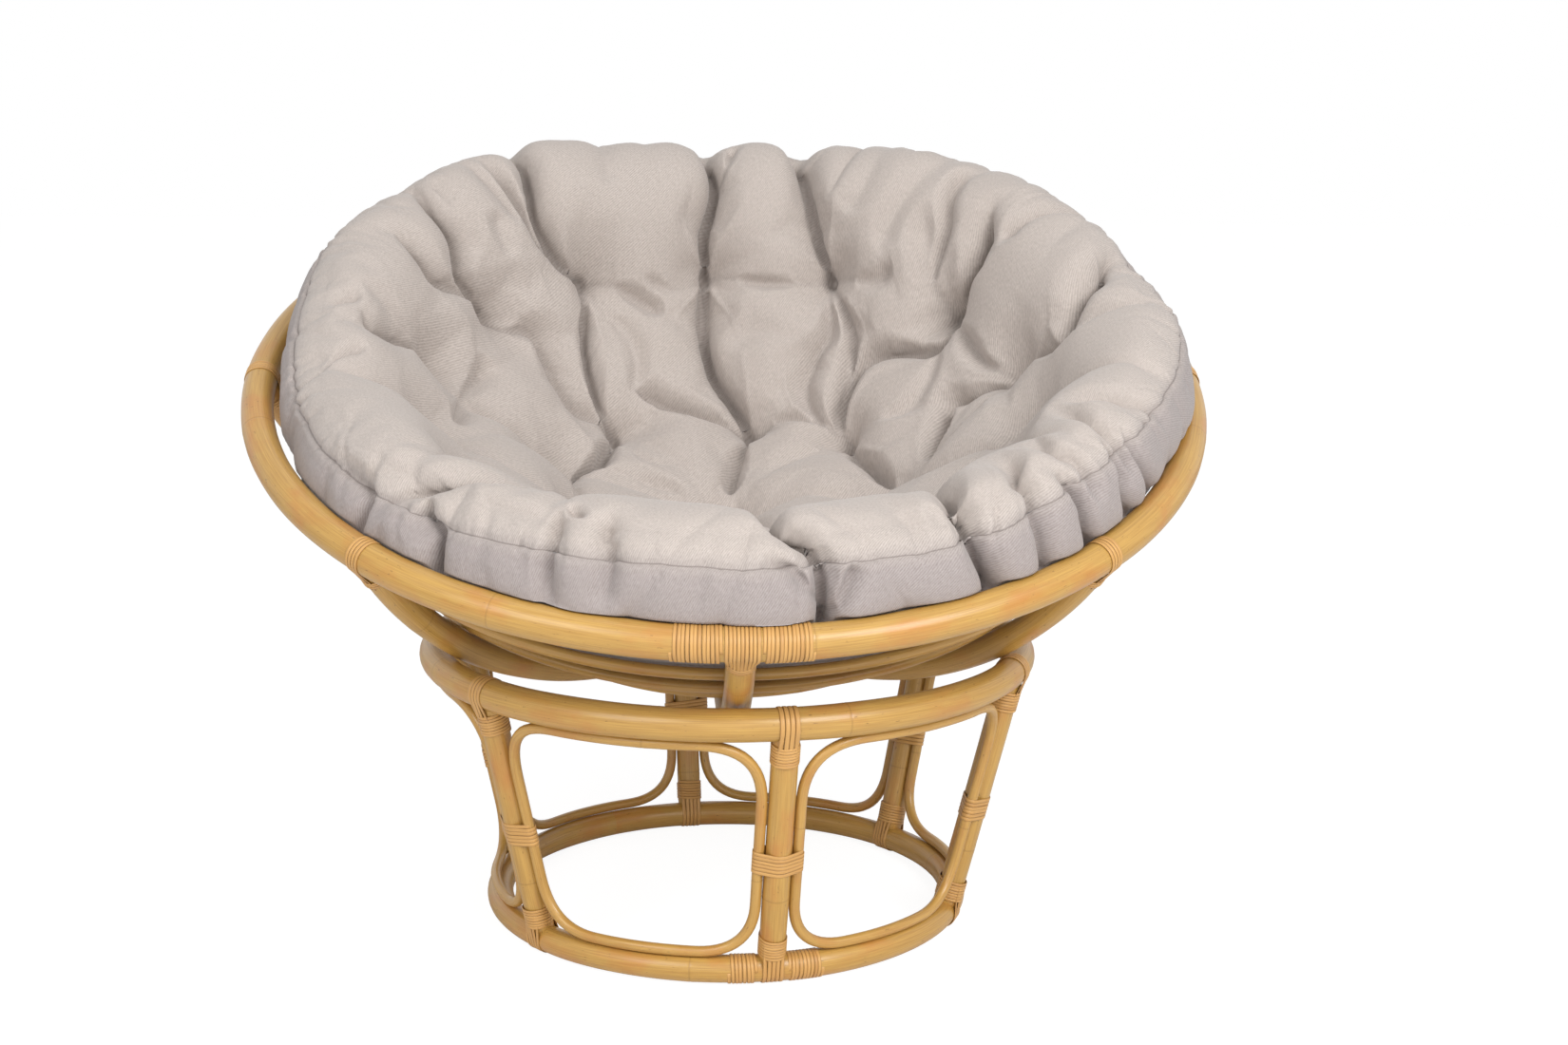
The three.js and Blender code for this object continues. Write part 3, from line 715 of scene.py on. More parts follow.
def base_bindings(index, azimuth):
    top = around(TOP_RING["radius"], azimuth, TOP_RING["height"])
    foot = around(BOTTOM_RING["radius"], azimuth, BOTTOM_RING["height"])
    down = unit(foot - top)
    aside, across = side_directions(azimuth, down, around(1.0, azimuth, 0.0))
    collar = round_outline(POST_POLE, COLLAR_OVER_STRAP)
    for end, centre, inward, ring, strap in (
            ("top", top, down, TOP_RING, TOP_STRAP), ("foot", foot, -down, BOTTOM_RING, FOOT_STRAP)):
        body = Body()
        directions = (inward, aside, across)
        start = ring["pole"] + STRAP_BESIDE
        add_strap(body, in_base, centre, directions, ring["pole"], POST_POLE, strap,
                  start, start + STRAP_LEG)
        add_coil(body, in_base, centre + (start - 4.0) * inward, directions, collar, **COLLAR)
        body.make(f"post_{end}_binding_{index}", "base", cane)

    body = Body()
    middle = MIDDLE_SHARE * POST_LENGTH
    inward = -LOOP_BESIDE ** 2 / 2.0 / (TOP_RING["radius"] - POST_SLOPE * middle)
    outline = hull_outline([
        (0.0, 0.0, POST_POLE),
        (LOOP_BESIDE, inward, LOOP_POLE),
        (-LOOP_BESIDE, inward, LOOP_POLE),
    ])
    start = middle - 0.5 * MIDDLE_BINDING["turns"] * MIDDLE_BINDING["pitch"]
    add_coil(body, in_base, top + start * down, (down, aside, across), outline, **MIDDLE_BINDING, slant=0.05)
    body.make(f"post_mid_binding_{index}", "base", cane)


def windings(kind, body, place, ring, azimuth, start, turns):
    """A cane strip on each side of a place on a ring, wound turn beside turn."""
    for name, side, count in zip(("left", "right"), (-1.0, 1.0), turns):
        steps = int(count * 28)
        spin = np.linspace(0.0, count * 2.0 * math.pi, steps + 1)
        sway = 0.25 * np.sin(0.31 * spin + chance.uniform(0.0, 6.0)) + 0.15 * np.sin(0.83 * spin)
        run = start + spin / (2.0 * math.pi) * WINDING_PITCH + sway
        turn = azimuth + side * run / ring["radius"]
        reach = ring["pole"] + tucked(steps, 4.0)
        radius, height = ring["radius"] + reach * np.cos(spin), ring["height"] + reach * np.sin(spin)
        outs = around(np.cos(spin), turn, np.sin(spin))
        made = Body()
        sweep(made, place(around(radius, turn, height)), place_direction(place, outs),
              strand_section(WINDING_WIDTH), offset=chance.uniform(0.0, STRAND_RUNS))
        made.make(f"{kind}_winding_{name}", body, cane)


for name, ring in (("base_top_ring", TOP_RING), ("base_bottom_ring", BOTTOM_RING)):
    ring_piece(name, "base", rattan, in_base, ring, RING_JOINT, 11.0, 24, RING_KNUCKLES)
for number in range(POSTS):
    post_azimuth = math.radians(BASE_TURN + number * 360.0 / POSTS)
    base_post(number + 1, post_azimuth)
    bay_loop(number + 1, post_azimuth + math.pi / POSTS)
    base_bindings(number + 1, post_azimuth)
windings("foot", "base", in_base, BOTTOM_RING, math.radians(BASE_TURN), 17.0, (7.0, 9.0))


# Bowl

RIM_KNUCKLES = 420.0
HOOP_KNUCKLES = 480.0
RIB_KNUCKLES = 330.0
FIRST_RIB_KNUCKLE = 160.0
RIM_ANGLE = math.acos(-RIM["height"] / RIB_SPHERE)
HUB_ANGLE = math.asin((HUB_RADIUS - 2.0) / RIB_SPHERE)


def rear_joint():
    """Where the joint of one of the bowl's rings lies, out of sight at the back."""
    return math.radians(chance.uniform(140.0, 220.0))


def bowl_rib(index, azimuth):
    length = (RIM_ANGLE - HUB_ANGLE) * RIB_SPHERE - 8.0

    def path(along):
        angle = HUB_ANGLE + along / RIB_SPHERE
        points = around(RIB_SPHERE * np.sin(angle), azimuth, -RIB_SPHERE * np.cos(angle))
        return in_bowl(points), place_direction(in_bowl, points / RIB_SPHERE)

    knuckles = knuckles_along(length, RIB_KNUCKLES, FIRST_RIB_KNUCKLE)
    pole_piece(f"bowl_rib_{index}", "bowl", rattan, path, length, RIB_POLE, 10.0, 22, knuckles)


def rim_binding(index, azimuth):
    centre = around(RIM["radius"], azimuth, RIM["height"])
    lower = RIM_ANGLE - 30.0 / RIB_SPHERE
    below = around(RIB_SPHERE * math.sin(lower), azimuth, -RIB_SPHERE * math.cos(lower))
    down = unit(below - centre)
    directions = (down, *side_directions(azimuth, down, centre))
    body = Body()
    start = RIM["pole"] + RIM_STRAP_BESIDE
    strap = FRONT_STRAP if index == 1 else RIM_STRAP
    add_strap(body, in_bowl, centre, directions, RIM["pole"], RIB_POLE, strap,
              start, start + RIM_STRAP_LEG)
    add_coil(body, in_bowl, centre + (start - 2.0) * down, directions,
             round_outline(RIB_POLE, COLLAR_OVER_STRAP), **RIM_COLLAR)
    body.make(f"rim_binding_{index}", "bowl", cane)


def bowl_hub():
    """A turned disc with rounded edges, as one lathe profile round the bowl's axis."""
    half = np.array([(radius, 0.5 * HUB_THICKNESS - drop) for radius, drop in HUB_EDGE])
    profile = np.concatenate([half * np.array([1.0, -1.0]), half[::-1]])
    turn = np.arange(HUB_SIDES) * 2.0 * math.pi / HUB_SIDES
    rings = around(profile[None, :, 0], turn[:, None], profile[None, :, 1] - RIB_SPHERE).reshape(-1, 3)
    size = len(profile)
    faces = []
    for i in range(HUB_SIDES):
        k = (i + 1) % HUB_SIDES
        faces += [(i * size + j, k * size + j, k * size + j + 1, i * size + j + 1) for j in range(size - 1)]
    faces.append(tuple(i * size for i in range(HUB_SIDES - 1, -1, -1)))
    faces.append(tuple(i * size + size - 1 for i in range(HUB_SIDES)))
    corners = [k for face in faces for k in face]
    body = Body()
    body.add(in_bowl(rings), faces, rings[corners], np.full(len(corners), METRE))
    body.make("bowl_hub", "bowl", turned_wood)


ring_piece("bowl_rim", "bowl", rattan, in_bowl, RIM, rear_joint(), 11.0, 28, RIM_KNUCKLES)
for number, angle in enumerate(np.radians(HOOP_ANGLES)):
    radius, height = HOOP_REACH * math.sin(angle), -HOOP_REACH * math.cos(angle)
    hoop = {"radius": radius, "height": height, "pole": HOOP_POLE}
    ring_piece(f"bowl_hoop_{number + 1}", "bowl", thin_rattan, in_bowl, hoop, rear_joint(), 10.0, 14,
               HOOP_KNUCKLES)
for number in range(RIBS):
    rib_azimuth = math.radians(number * 360.0 / RIBS)
    bowl_rib(number + 1, rib_azimuth)
    rim_binding(number + 1, rib_azimuth)
windings("rim", "bowl", in_bowl, RIM, 0.0, 20.0, (12.0, 12.0))
bowl_hub()


# Cushion

CUSHION_REACH = 555.6
SEAT_REACH = 417.0
CUSHION_SETTLE = math.radians(2.0)

# Tufts of the outer row and of the inner one, as azimuth and angle from the bowl's axis in degrees
OUTER_ROW = (
    (183, 52), (209, 52), (234, 52), (260, 52), (286, 52), (312, 52), (337, 52),
    (3, 52), (29, 52), (52, 52), (75, 52), (99, 52), (127, 52), (157, 52),
)
INNER_ROW = ((168, 24), (219, 27), (262, 27), (305, 27), (350, 27), (35, 27), (79, 27), (130, 27))

# Section of the pad beyond the seat's sphere, as radius and height: over the crown to the seam,
# down the boxed side to the lower seam
CROWN_PROFILE = np.array([
    (362.0, -207.0), (386.0, -172.0), (413.0, -149.0), (444.0, -138.0), (470.0, -142.0),
    (490.0, -156.0), (503.0, -176.0),
])
SIDE_PROFILE = np.array([
    (503.0, -176.0), (509.0, -198.0), (515.0, -218.0), (516.0, -236.0), (511.0, -254.0),
    (503.0, -271.0), (487.0, -292.0),
])


def smooth_path(points, count):
    """Even points on a smooth curve through the given ones."""
    ends = extended(points)
    t = np.linspace(0.0, 1.0, 16, endpoint=False)[:, None]
    fours = zip(ends[:-3], ends[1:-2], ends[2:-1], ends[3:])
    fine = np.concatenate([smooth_run(*four, t) for four in fours] + [points[-1:]])
    along = run_along(fine)
    return points_at(np.linspace(0.0, along[-1], count), along, fine), along[-1]


# Where the seat's ball ends, and the points taken over the top and down the side
SEAT_EDGE = math.radians(58.0)
OVER_POINTS = 340
SIDE_POINTS = 80

seat_angles = np.linspace(0.0, SEAT_EDGE, 60)
seat_profile = SEAT_REACH * np.stack([np.sin(seat_angles), -np.cos(seat_angles)], axis=-1)
over_profile, SEAM_ALONG = smooth_path(np.concatenate([seat_profile, CROWN_PROFILE]), OVER_POINTS)
side_profile, SIDE_LENGTH = smooth_path(SIDE_PROFILE, SIDE_POINTS)
profile = np.concatenate([over_profile, side_profile[1:]])
PROFILE_LENGTH = SEAM_ALONG + SIDE_LENGTH
profile_along = np.concatenate([
    np.linspace(0.0, SEAM_ALONG, OVER_POINTS), np.linspace(SEAM_ALONG, PROFILE_LENGTH, SIDE_POINTS)[1:],
])


# the last colour is the cool grey of the painted shade on the boxed side and the underside
twill = polyester_twill("heathered polyester twill", "#C9BFB8", "#9C928B", "#6F6661", "#DCDBE0")


def direction(angle, azimuth):
    return around(np.sin(angle), azimuth, -np.cos(angle))


def tuft_places():
    """Directions from the middle of the bowl's ball to the middle tuft, the inner and the outer ones."""
    rows = [np.radians(np.array(row, float)) for row in (((0, 0),), INNER_ROW, OUTER_ROW)]
    return [direction(row[:, 1], row[:, 0]) for row in rows]


def segment_distance(points, a, b):
    """Distance from unit directions to a chord, and how far along it the nearest point lies."""
    chord = b - a
    share = np.clip(((points - a) @ chord) / (chord @ chord), 0.0, 1.0)
    return np.linalg.norm(points - (a + share[:, None] * chord), axis=1), share


def bent_link(points, a, b, bend):
    """Like segment_distance, for a crease that bends aside between two tufts."""
    aside = unit(np.cross(a + b, b - a))
    middle = unit(0.5 * (a + b) + bend * aside)
    first, at_first = segment_distance(points, a, middle)
    second, at_second = segment_distance(points, middle, b)
    near = first < second
    return np.where(near, first, second), np.where(near, 0.5 * at_first, 0.5 + 0.5 * at_second)


def tuft_links():
    """Creases that join the tufts: two ends, sideways bend, and share of the depth midway.
    The ones at the back are drawn one by one below, as folds."""
    middle, inner, outer = tuft_places()
    links = []
    for t in inner[1:]:
        links.append((middle[0], t, chance.uniform(-0.03, 0.03), chance.uniform(0.25, 0.5)))
    for k in range(1, len(inner) - 1):
        links.append((inner[k], inner[k + 1], chance.uniform(-0.05, 0.05), chance.uniform(0.1, 0.4)))
    for t in inner[2:-1]:
        nearest = np.argsort(np.linalg.norm(outer - t, axis=1))[:2]
        for n, strength in zip(nearest, (0.8, 0.35)):
            links.append((t, outer[n], chance.uniform(-0.07, 0.07), strength * chance.uniform(0.7, 1.1)))
    for k in range(2, 11):
        links.append((outer[k], outer[k + 1], chance.uniform(-0.05, 0.02), chance.uniform(0.04, 0.22)))
    return links


# Creases from the outer tufts over the crown in front: tuft, strength and lean in degrees
CROWN_CREASES = ((4, 0.45, -3.0), (5, 0.3, 3.0), (6, 0.35, -2.0), (9, 0.4, -2.0), (10, 0.45, -3.0))

# Folds of the cover: depth of the soft hollow and its half width, depth of the sharp crease in it,
# how much is left at the two ends, and places as azimuth in degrees and way from the middle in mm
FOLDS = (
    # Left of the back
    (22, 22, 19, 0.8, 1.0, (
        (183, 590), (182, 553), (181, 484), (183, 424), (183, 378), (184, 307), (181, 240), (168, 172))),
    (7, 10, 5, 1.0, 0.3, ((178, 560), (179, 523), (181, 481), (182, 439))),
    (20, 24, 16, 0.6, 1.0, ((214, 590), (214, 535), (215, 490), (216, 445), (214, 398), (209, 378))),
    (10, 16, 10, 0.2, 0.9, ((221, 562), (220, 505), (219, 460), (217, 412), (210, 380))),
    (7, 18, 4, 0.5, 0.0, ((224, 559), (223, 496), (221, 445))),
    (20, 26, 15, 0.3, 1.0, ((234, 583), (236, 514), (236, 460), (238, 418), (234, 380))),
    (11, 18, 9, 0.1, 0.9, ((248, 517), (247, 472), (245, 430), (236, 386))),
    (7, 18, 3, 0.5, 0.0, ((232, 559), (233, 499))),
    (8, 16, 1, 0.0, 0.0, ((226, 478), (227, 445), (227, 406))),
    (14, 24, 10, 0.2, 1.0, ((269, 511), (270, 472), (264, 425), (260, 382))),
    (7, 14, 4, 0.8, 0.0, ((268, 558), (266, 514))),
    (6, 12, 4, 0.6, 0.0, ((283, 575), (280, 526), (279, 493))),
    (6, 18, 1, 0.4, 0.0, ((198, 575), (202, 475))),
    # Left half of the seat
    (20, 22, 7, 1.0, 1.0, ((234, 378), (233, 358), (227, 340), (229, 280), (229, 240), (219, 198))),
    (17, 14, 12, 0.8, 1.0, ((209, 376), (214, 328), (219, 264), (221, 228), (219, 198))),
    (10, 15, 1, 0.3, 0.5, ((209, 370), (206, 337), (204, 295), (206, 252), (214, 215))),
    (14, 15, 5, 1.0, 0.0, ((209, 378), (203, 364), (197, 342), (193, 328))),
    (8, 12, 3, 0.0, 0.8, ((198, 376), (191, 360), (185, 370))),
    (18, 17, 8, 0.0, 1.0, ((209, 236), (204, 224), (198, 203), (184, 180), (168, 172))),
    (8, 12, 1, 1.0, 0.0, ((219, 195), (210, 200), (200, 194))),
    (22, 15, 12, 1.0, 0.6, ((220, 192), (236, 171), (248, 168), (262, 190))),
    (8, 14, 1, 1.0, 0.0, ((222, 175), (226, 120), (203, 80))),
    (10, 12, 1, 0.3, 0.3, ((249, 120), (243, 84), (236, 60))),
    (17, 14, 7, 1.0, 0.3, ((168, 170), (170, 110), (171, 75), (170, 40))),
    (13, 17, 5, 0.3, 1.0, ((278, 343), (269, 337), (250, 337))),
    # Right of the back
    (22, 22, 17, 0.9, 1.0, ((168, 590), (166, 535), (164, 478), (161, 421), (158, 390), (157, 378))),
    (24, 22, 16, 0.2, 1.0, ((127, 499), (125, 448), (125, 406), (127, 378))),
    (11, 14, 6, 0.8, 0.6, ((137, 532), (136, 493), (134, 451), (133, 400), (128, 380))),
    (10, 20, 1, 0.2, 0.8, ((140, 478), (137, 433), (134, 394), (128, 380))),
    (24, 22, 17, 0.2, 1.0, (
        (105, 600), (103, 570), (100, 532), (98, 493), (95, 460), (93, 436), (97, 405), (99, 380))),
    (10, 16, 3, 0.8, 0.0, ((117, 575), (119, 544), (120, 496), (120, 460))),
    (6, 20, 1, 0.4, 0.0, ((152, 560), (152, 478), (155, 439))),
    (7, 20, 1, 0.6, 0.0, ((141, 568), (143, 499), (145, 439), (146, 390))),
    # Right half of the seat
    (18, 17, 5, 1.0, 0.8, ((157, 376), (153, 319), (154, 279), (153, 240), (146, 207), (132, 198))),
    (13, 10, 8, 1.0, 1.0, ((157, 376), (148, 331), (144, 292), (141, 240), (138, 213), (130, 198))),
    (10, 12, 4, 0.8, 1.0, ((181, 378), (172, 365), (162, 368), (157, 378))),
    (10, 12, 4, 1.0, 0.0, ((157, 378), (146, 379), (141, 397))),
    (21, 17, 9, 1.0, 1.0, (
        (127, 376), (124, 345), (135, 316), (140, 289), (140, 252), (137, 213), (130, 198))),
    (8, 14, 1, 1.0, 0.0, ((127, 370), (118, 316), (116, 255), (126, 219))),
    (13, 12, 5, 0.8, 0.8, ((126, 374), (112, 361), (106, 362), (99, 378))),
    (21, 15, 9, 1.0, 0.5, ((99, 376), (103, 331), (107, 304), (100, 276), (92, 255))),
    (17, 15, 7, 1.0, 1.0, ((168, 172), (155, 192), (140, 202), (130, 198))),
    (20, 15, 9, 1.0, 0.4, ((130, 197), (118, 180), (101, 185), (85, 200))),
    # Front roll and boxed side, left to right
    (14, 24, 8, 0.4, 0.8, ((314, 628), (316, 607), (319, 571), (322, 532), (330, 450), (336, 385))),
    (8, 14, 5, 0.3, 0.8, ((304, 619), (308, 622), (311, 637), (310, 690))),
    (16, 16, 10, 0.2, 1.0, ((319, 600), (320, 625), (323, 643), (324, 690), (324, 735))),
    (9, 14, 6, 0.1, 0.6, ((337, 560), (338, 610), (338, 637), (339, 665))),
    (8, 9, 4, 1.0, 0.2, ((339, 548), (340, 575))),
    (9, 14, 6, 0.1, 0.6, ((344, 555), (344, 600), (345, 625), (345, 655))),
    (18, 18, 13, 0.6, 1.0, (
        (3, 385), (3, 470), (4, 540), (6, 577), (8, 610), (9, 637), (9, 700), (9, 735))),
    (8, 10, 5, 0.2, 1.0, ((13, 628), (12, 640), (11, 658), (9, 690))),
    (8, 10, 5, 0.2, 1.0, ((2, 616), (5, 628), (7, 643), (9, 665))),
    (6, 16, 0, 0.5, 0.5, ((20, 541), (21, 589), (22, 616))),
    (6, 14, 0, 0.4, 0.4, ((25, 560), (24, 610))),
    (18, 18, 13, 0.6, 1.0, ((29, 385), (30, 490), (28, 540), (28, 592), (28, 637), (29, 667), (30, 735))),
    (12, 14, 7, 0.2, 0.9, ((41, 505), (40, 530), (38, 574), (38, 607), (37, 637), (37, 700))),
    (10, 12, 7, 0.2, 0.9, ((43, 600), (44, 640), (44, 667), (46, 735))),
    (9, 14, 4, 0.8, 0.2, ((47, 637), (47, 601), (46, 541), (50, 480))),
    (8, 12, 5, 0.2, 0.9, ((53, 590), (53, 637), (52, 667), (55, 735))),
    (7, 11, 4, 0.4, 0.9, ((57, 610), (57, 649), (60, 720))),
    (9, 14, 4, 1.0, 0.0, ((55, 640), (55, 595), (56, 532), (60, 470))),
    (7, 14, 3, 0.0, 0.8, ((60, 484), (62, 535), (64, 589), (66, 630))),
    (6, 14, 2, 0.8, 0.0, ((90, 570), (90, 505), (89, 466))),
)

# Across a fold: half widths of its sharp crease, of the groove in that on the finer cover, of the
# line darkened with painted shade where the cloth closes and of the line where it is held, and the
# depths at which that painted shade is full and at which the cloth is held fully
CREASE_WIDTH = 9.5
GROOVE_WIDTH = 4.4
GROOVE_SHARE = 0.48
FOLD_SHADE_WIDTH = 2.8
FOLD_SHADE_DEPTH = 14.0
HELD_WIDTH = 5.0
HELD_DEPTH = 34.0

# Tufts, the pleats that start at each, and the creases that join them: depths and half widths
TUFT_DEPTH = 54.0
TUFT_WIDTH = 30.0
TUFT_HELD = 7.0
PLEATS = 4
PLEAT_WIDTH = 5.0
PLEAT_REACH = (14.0, 36.0)
PLEAT_DEPTH = (2.0, 5.0)
LINK_SOFT, LINK_SOFT_WIDTH = 20.0, 30.0
LINK_SHARP, LINK_SHARP_WIDTH = 10.0, 10.0
CROWN_SOFT, CROWN_SOFT_WIDTH = 24.0, 34.0
CROWN_SHARP, CROWN_SHARP_WIDTH = 12.0, 10.0
CROWN_INSET = 14.0
CROWN_LEAN = 11.0


def seat_directions(along, azimuth):
    """Directions from the middle of the seat's ball to the cover."""
    return direction(np.minimum(along / SEAT_REACH, math.radians(80.0)), azimuth)


def wrap(turn):
    """An angle in radians from half a turn back to half a turn on."""
    return (turn + math.pi) % (2.0 * math.pi) - math.pi


def on_section(along, azimuth):
    """Points of the smooth pad before it is tufted."""
    section = points_at(along, profile_along, profile)
    return around(section[:, 0], azimuth, section[:, 1])


def fold_line(places):
    """A smooth line over the smooth pad through a fold's places."""
    places = np.array(places, float)
    places[:, 0] = np.degrees(np.unwrap(np.radians(places[:, 0])))
    steps = np.linspace(0.0, len(places) - 1.0, 5 * (len(places) - 1) + 1)
    ends = extended(places)
    at = np.minimum(steps.astype(int), len(places) - 2)
    line = smooth_run(ends[at], ends[at + 1], ends[at + 2], ends[at + 3], (steps - at)[:, None])
    return on_section(line[:, 1], np.radians(line[:, 0]))


def fold_distance(points, places, reach):
    """Distance of the points near a fold to its line, and how far along the line each lies."""
    line = fold_line(places)
    low, high = line.min(axis=0) - reach, line.max(axis=0) + reach
    near = np.nonzero(np.all((points > low) & (points < high), axis=1))[0]
    spots = points[near]
    best = np.full(len(near), METRE)
    share = np.zeros(len(near))
    for k in range(len(line) - 1):
        distance, at = segment_distance(spots, line[k], line[k + 1])
        closer = distance < best
        best = np.where(closer, distance, best)
        share = np.where(closer, (k + at) / (len(line) - 1), share)
    return near, best, share


def folds_near(along, azimuth):
    """Each fold's soft and sharp depth and its width, with the points near it and their distances."""
    spots = on_section(along, azimuth)
    for soft, width, sharp, start, end, places in FOLDS:
        near, distance, share = fold_distance(spots, places, 2.5 * width)
        strength = np.interp(share, (0.0, 0.25, 0.75, 1.0), (start, 1.0, 1.0, end))
        yield strength * soft, width, strength * sharp, near, distance


def fold_depth(along, azimuth):
    """Depth of the single folds at each point, and how firmly the cover is held in them."""
    depth, hold = np.zeros((2, len(along)))
    for soft, width, sharp, near, distance in folds_near(along, azimuth):
        fold = soft * bell(distance, width) + sharp * bell(distance, CREASE_WIDTH)
        depth[near] = np.maximum(depth[near], fold)
        firm = np.clip((soft + sharp) / HELD_DEPTH - 0.1, 0.0, 0.9)
        hold[near] = np.maximum(hold[near], firm * bell(distance, HELD_WIDTH))
    return depth, hold


def fold_grooves(along, azimuth):
    """Depth of the narrow groove in each fold at each point, and how much painted shade it gets where the
    cloth closes.
    """
    depth, closed = np.zeros((2, len(along)))
    for _, _, sharp, near, distance in folds_near(along, azimuth):
        depth[near] = np.maximum(depth[near], GROOVE_SHARE * sharp * bell(distance, GROOVE_WIDTH))
        fold_shade_share = np.minimum(sharp / FOLD_SHADE_DEPTH, 1.0) * bell(distance, FOLD_SHADE_WIDTH)
        closed[near] = np.maximum(closed[near], fold_shade_share)
    return depth, closed


def link_depth(here, depth, hold):
    """Adds the creases that join the tufts."""
    for a, b, bend, share in tuft_links():
        distance, at = bent_link(here, a, b, bend)
        distance = distance * SEAT_REACH
        low = 1.0 - (1.0 - share) * np.sin(math.pi * np.clip(at, 0.0, 1.0)) ** 0.7
        fold = LINK_SOFT * bell(distance, LINK_SOFT_WIDTH)
        fold += LINK_SHARP * bell(distance, LINK_SHARP_WIDTH)
        depth = np.maximum(depth, low * fold)
        hold = np.maximum(hold, 0.8 * np.clip(low - 0.3, 0.0, 1.0) * bell(distance, HELD_WIDTH))
    return depth, hold


def tuft_depth(here, tufts, depth, hold):
    """Adds the hollow round each tuft."""
    for t in tufts:
        distance = np.linalg.norm(here - t, axis=1) * SEAT_REACH
        depth = np.maximum(depth, TUFT_DEPTH * np.exp(-(distance / TUFT_WIDTH) ** 1.25))
        hold = np.maximum(hold, np.clip(1.6 - distance / TUFT_HELD, 0.0, 1.0))
    return depth, hold


def crown_depth(along, azimuth, depth, hold):
    """Adds the creases that run from the outer tufts over the crown in front."""
    radius = np.interp(along, profile_along, profile[:, 0])
    outer_along = math.radians(OUTER_ROW[0][1]) * SEAT_REACH
    share = np.clip((along - outer_along) / (SEAM_ALONG - outer_along), 0.0, 1.3)
    ends = ramp(along - outer_along + 30.0, 30.0) * ramp(PROFILE_LENGTH - along, 60.0)
    for k, strong, lean in CROWN_CREASES:
        place = math.radians(OUTER_ROW[k][0])
        distance = np.abs(wrap(azimuth - place - math.radians(lean) * share)) * radius
        broad = ends * strong * (1.0 - 0.72 * np.clip(share, 0.0, 1.25))
        fold = CROWN_SOFT * bell(distance, CROWN_SOFT_WIDTH)
        fold += CROWN_SHARP * bell(distance, CROWN_SHARP_WIDTH)
        depth = np.maximum(depth, broad * fold)
        hold = np.maximum(hold, 0.9 * np.clip(broad - 0.2, 0.0, 1.0) * bell(distance, HELD_WIDTH))
    return depth, hold


def pleat_depth(here, tufts):
    """Short pleats that start at the tufts."""
    depth = np.zeros(len(here))
    for t in tufts:
        for _ in range(PLEATS):
            heading = unit(np.cross(t, unit(chance.normal(0.0, 1.0, 3))))
            reach = chance.uniform(*PLEAT_REACH)
            deep = chance.uniform(*PLEAT_DEPTH)
            away = (here - t) * SEAT_REACH
            forth = away @ heading
            aside = np.linalg.norm(away - forth[:, None] * heading, axis=1)
            pleat = deep * bell(aside, PLEAT_WIDTH) * np.exp(-np.abs(forth) / reach)
            depth += np.where(forth > 0.0, pleat, 0.0)
    return depth


def cushion_depth(along, azimuth):
    """How deep the cover is drawn in at the tufts and creases, and how firmly it is held there."""
    here = seat_directions(along, azimuth)
    tufts = np.concatenate(tuft_places())
    depth, hold = link_depth(here, *fold_depth(along, azimuth))
    depth, hold = tuft_depth(here, tufts, depth, hold)
    depth, hold = crown_depth(along, azimuth, depth, hold)
    depth = depth + pleat_depth(here, tufts)
    crown = ramp(along - 340.0, 90.0) * ramp(SEAM_ALONG + 20.0 - along, 60.0)
    return depth + crown * (CROWN_INSET + CROWN_LEAN * np.cos(azimuth)), hold


# Gathers at the seam: width, reach up and down, and depth. Lumps of the filling: their size as a
# share of the seat's ball, and their height.
GATHERS = 130
GATHER_WIDTH = (3.5, 9.0)
GATHER_UP = (14.0, 60.0)
GATHER_DOWN = (10.0, 40.0)
GATHER_DEPTH = (1.0, 5.0)
LUMPS = 90
LUMP_SIZE = (0.06, 0.16)
LUMP_HEIGHT = (-4.0, 4.0)


def gather_depth(along, azimuth, finer=1.0):
    """Small folds that start at the seam, where the cover is gathered into it."""
    radius = np.interp(along, profile_along, profile[:, 0])
    off = along - SEAM_ALONG
    depth = np.zeros(len(along))
    for _ in range(GATHERS):
        place = chance.uniform(0.0, 2.0 * math.pi)
        lean = chance.normal(0.0, 0.35)
        width, up, down, deep = (finer * chance.uniform(*most) for most in (
            GATHER_WIDTH, GATHER_UP, GATHER_DOWN, GATHER_DEPTH))
        distance = np.abs(wrap(azimuth - place - lean * off / 500.0)) * radius
        reach = np.where(off < 0.0, up, down)
        depth += deep * bell(distance, width) * np.exp(-np.abs(off) / reach)
    return depth


def filling_lumps(here):
    """Uneven filling: broad soft swellings of a few millimetres."""
    swell = np.zeros(len(here))
    for _ in range(LUMPS):
        place = unit(np.append(chance.normal(0.0, 1.0, 2), -chance.uniform(0.0, 1.6)))
        size = chance.uniform(*LUMP_SIZE)
        high = chance.uniform(*LUMP_HEIGHT)
        swell += high * bell(np.linalg.norm(here - place, axis=1), size)
    return swell


def disc_grid(count):
    """Points of a disc in even squares, from the middle to radius 1."""
    line = np.linspace(-1.0, 1.0, count)
    a, b = np.meshgrid(line, line, indexing="ij")
    big = np.maximum(np.abs(a), np.abs(b))
    wide = np.abs(a) >= np.abs(b)
    safe_a = np.where(a == 0.0, 1.0, a)
    safe_b = np.where(b == 0.0, 1.0, b)
    turn = np.where(wide, math.pi / 4.0 * b / safe_a, math.pi / 2.0 - math.pi / 4.0 * a / safe_b)
    radius = np.where(wide, a, b)
    turn = np.where(big == 0.0, 0.0, turn)
    return radius * np.cos(turn), radius * np.sin(turn)


def settle(points):
    return tip(points, -CUSHION_SETTLE)


